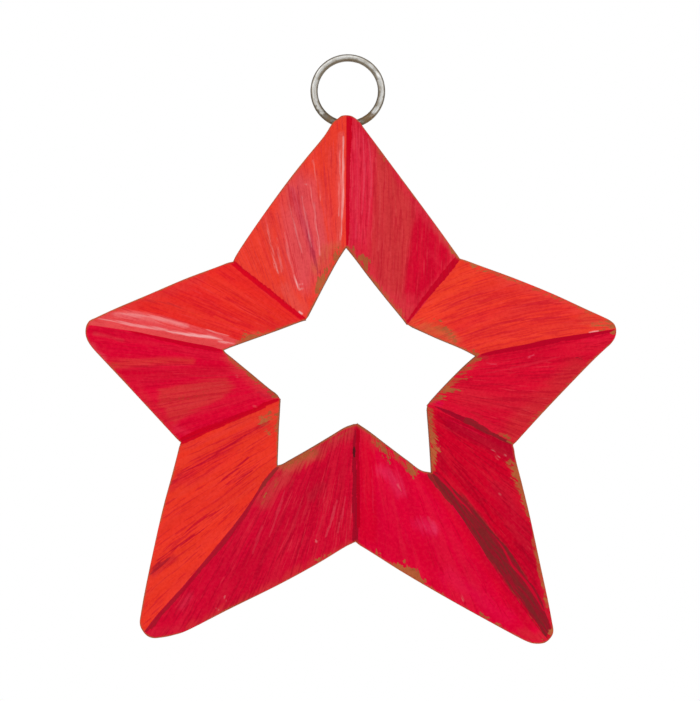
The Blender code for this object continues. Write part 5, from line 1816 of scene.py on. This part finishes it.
# ------------------------------------------------------ floor, light, camera
def build_floor():
    """A plain pale studio floor, well below the hanging star."""
    t = Tree("pale_floor")
    geometry = t.node("ShaderNodeTexCoord").outputs["Object"]
    cloud = t.noise(geometry, 3.0, 3.0, 0.5)
    fine = t.noise(geometry, 160.0, 2.0, 0.5)
    colour = t.mix(t.step(cloud, 0.3, 0.7), rgb((236, 236, 234)), rgb((229, 229, 227)))
    t.finish(colour, t.step(fine, 0.2, 0.8, 0.75, 0.9), fine, 0.0002, specular=0.1)
    rings, around, radius, z = 24, 96, 2.6, -0.56
    verts, faces = [(0.0, 0.0, z)], []
    for r in range(1, rings + 1):
        for k in range(around):
            a = 2 * math.pi * k / around
            d = radius * r / rings
            verts.append((d * math.cos(a), d * math.sin(a), z))
    for k in range(around):
        faces.append((0, 1 + k, 1 + (k + 1) % around))
    for r in range(1, rings):
        for k in range(around):
            a, b = 1 + (r - 1) * around + k, 1 + (r - 1) * around + (k + 1) % around
            faces.append((a, a + around, b + around, b))
    floor = make("studio_floor", verts, faces, [t.mat], smooth=True)


build_floor()


def build_world():
    """White studio: even soft light, a little stronger from above."""
    world = bpy.data.worlds.new("studio")
    bpy.context.scene.world = world
    world.use_nodes = True
    t = world.node_tree
    t.nodes.clear()
    out = t.nodes.new("ShaderNodeOutputWorld")
    coord = t.nodes.new("ShaderNodeTexCoord")
    split = t.nodes.new("ShaderNodeSeparateXYZ")
    t.links.new(coord.outputs["Generated"], split.inputs[0])

    def map_range(value, a, b, low, high):
        n = t.nodes.new("ShaderNodeMapRange")
        n.interpolation_type = "SMOOTHSTEP"
        t.links.new(value, n.inputs["Value"])
        for key, v in (("From Min", a), ("From Max", b), ("To Min", low), ("To Max", high)):
            n.inputs[key].default_value = v
        return n.outputs[0]

    def times(a, b):
        n = t.nodes.new("ShaderNodeMath")
        n.operation = "MULTIPLY"
        for v, s in ((a, n.inputs[0]), (b, n.inputs[1])):
            if isinstance(v, bpy.types.NodeSocket):
                t.links.new(v, s)
            else:
                s.default_value = v
        return n.outputs[0]

    # light on diffuse surfaces: nearly even
    even_light = map_range(split.outputs["Z"], -0.9, 0.9, 0.92, 1.10)
    soft = t.nodes.new("ShaderNodeBackground")
    soft.inputs["Color"].default_value = (1.0, 0.995, 0.985, 1.0)
    t.links.new(even_light, soft.inputs["Strength"])
    # what polished surfaces see: soft boxes at the sides and above, dimmer straight ahead, dark below and behind
    behind = map_range(split.outputs["Y"], -0.25, 0.15, 1.0, 0.34)
    ahead = map_range(split.outputs["Y"], -0.97, -0.70, 0.66, 1.12)
    below = map_range(split.outputs["Z"], -0.80, -0.20, 0.30, 1.0)
    glossy_level = times(times(behind, ahead), below)
    gloss = t.nodes.new("ShaderNodeBackground")
    gloss.inputs["Color"].default_value = (0.98, 0.99, 1.0, 1.0)
    t.links.new(glossy_level, gloss.inputs["Strength"])
    white = t.nodes.new("ShaderNodeBackground")
    white.inputs["Color"].default_value = (1.0, 1.0, 1.0, 1.0)
    white.inputs["Strength"].default_value = 1.0
    path = t.nodes.new("ShaderNodeLightPath")
    mix_a = t.nodes.new("ShaderNodeMixShader")
    t.links.new(path.outputs["Is Glossy Ray"], mix_a.inputs[0])
    t.links.new(soft.outputs[0], mix_a.inputs[1])
    t.links.new(gloss.outputs[0], mix_a.inputs[2])
    mix_b = t.nodes.new("ShaderNodeMixShader")
    t.links.new(path.outputs["Is Camera Ray"], mix_b.inputs[0])
    t.links.new(mix_a.outputs[0], mix_b.inputs[1])
    t.links.new(white.outputs[0], mix_b.inputs[2])
    t.links.new(mix_b.outputs[0], out.inputs["Surface"])


build_world()


def area(name, location, target, size, energy, colour):
    data = bpy.data.lights.new(name, "AREA")
    data.shape = "RECTANGLE"
    data.size, data.size_y = size
    data.energy = energy
    data.color = colour
    obj = bpy.data.objects.new(name, data)
    obj.location = location
    obj.rotation_euler = (Vector(target) - Vector(location)).to_track_quat("-Z", "Y").to_euler()
    bpy.context.scene.collection.objects.link(obj)
    return obj


area("key_upper_left", (-1.3, -1.5, 1.2), (0, 0, -0.12), (1.2, 1.2), 1.2, (1.0, 0.99, 0.97))

camera_data = bpy.data.cameras.new("camera")
camera = bpy.data.objects.new("camera", camera_data)
bpy.context.scene.collection.objects.link(camera)
eye = to_world(np.array((2.2 * UNIT, RIM_FRONT - SIGHT, -226.5 * UNIT)))
camera.location = Vector([float(v) for v in eye])
camera.rotation_euler = (math.radians(90.0) + LEAN, 0.0, 0.0)
camera_data.sensor_fit = "HORIZONTAL"
camera_data.sensor_width = 36.0
camera_data.lens = 36.0 * SIGHT / (700.0 * UNIT)
camera_data.clip_start, camera_data.clip_end = 0.01, 50.0
bpy.context.scene.camera = camera

bpy.context.scene.view_settings.view_transform = "Standard"
bpy.context.scene.view_settings.look = "None"
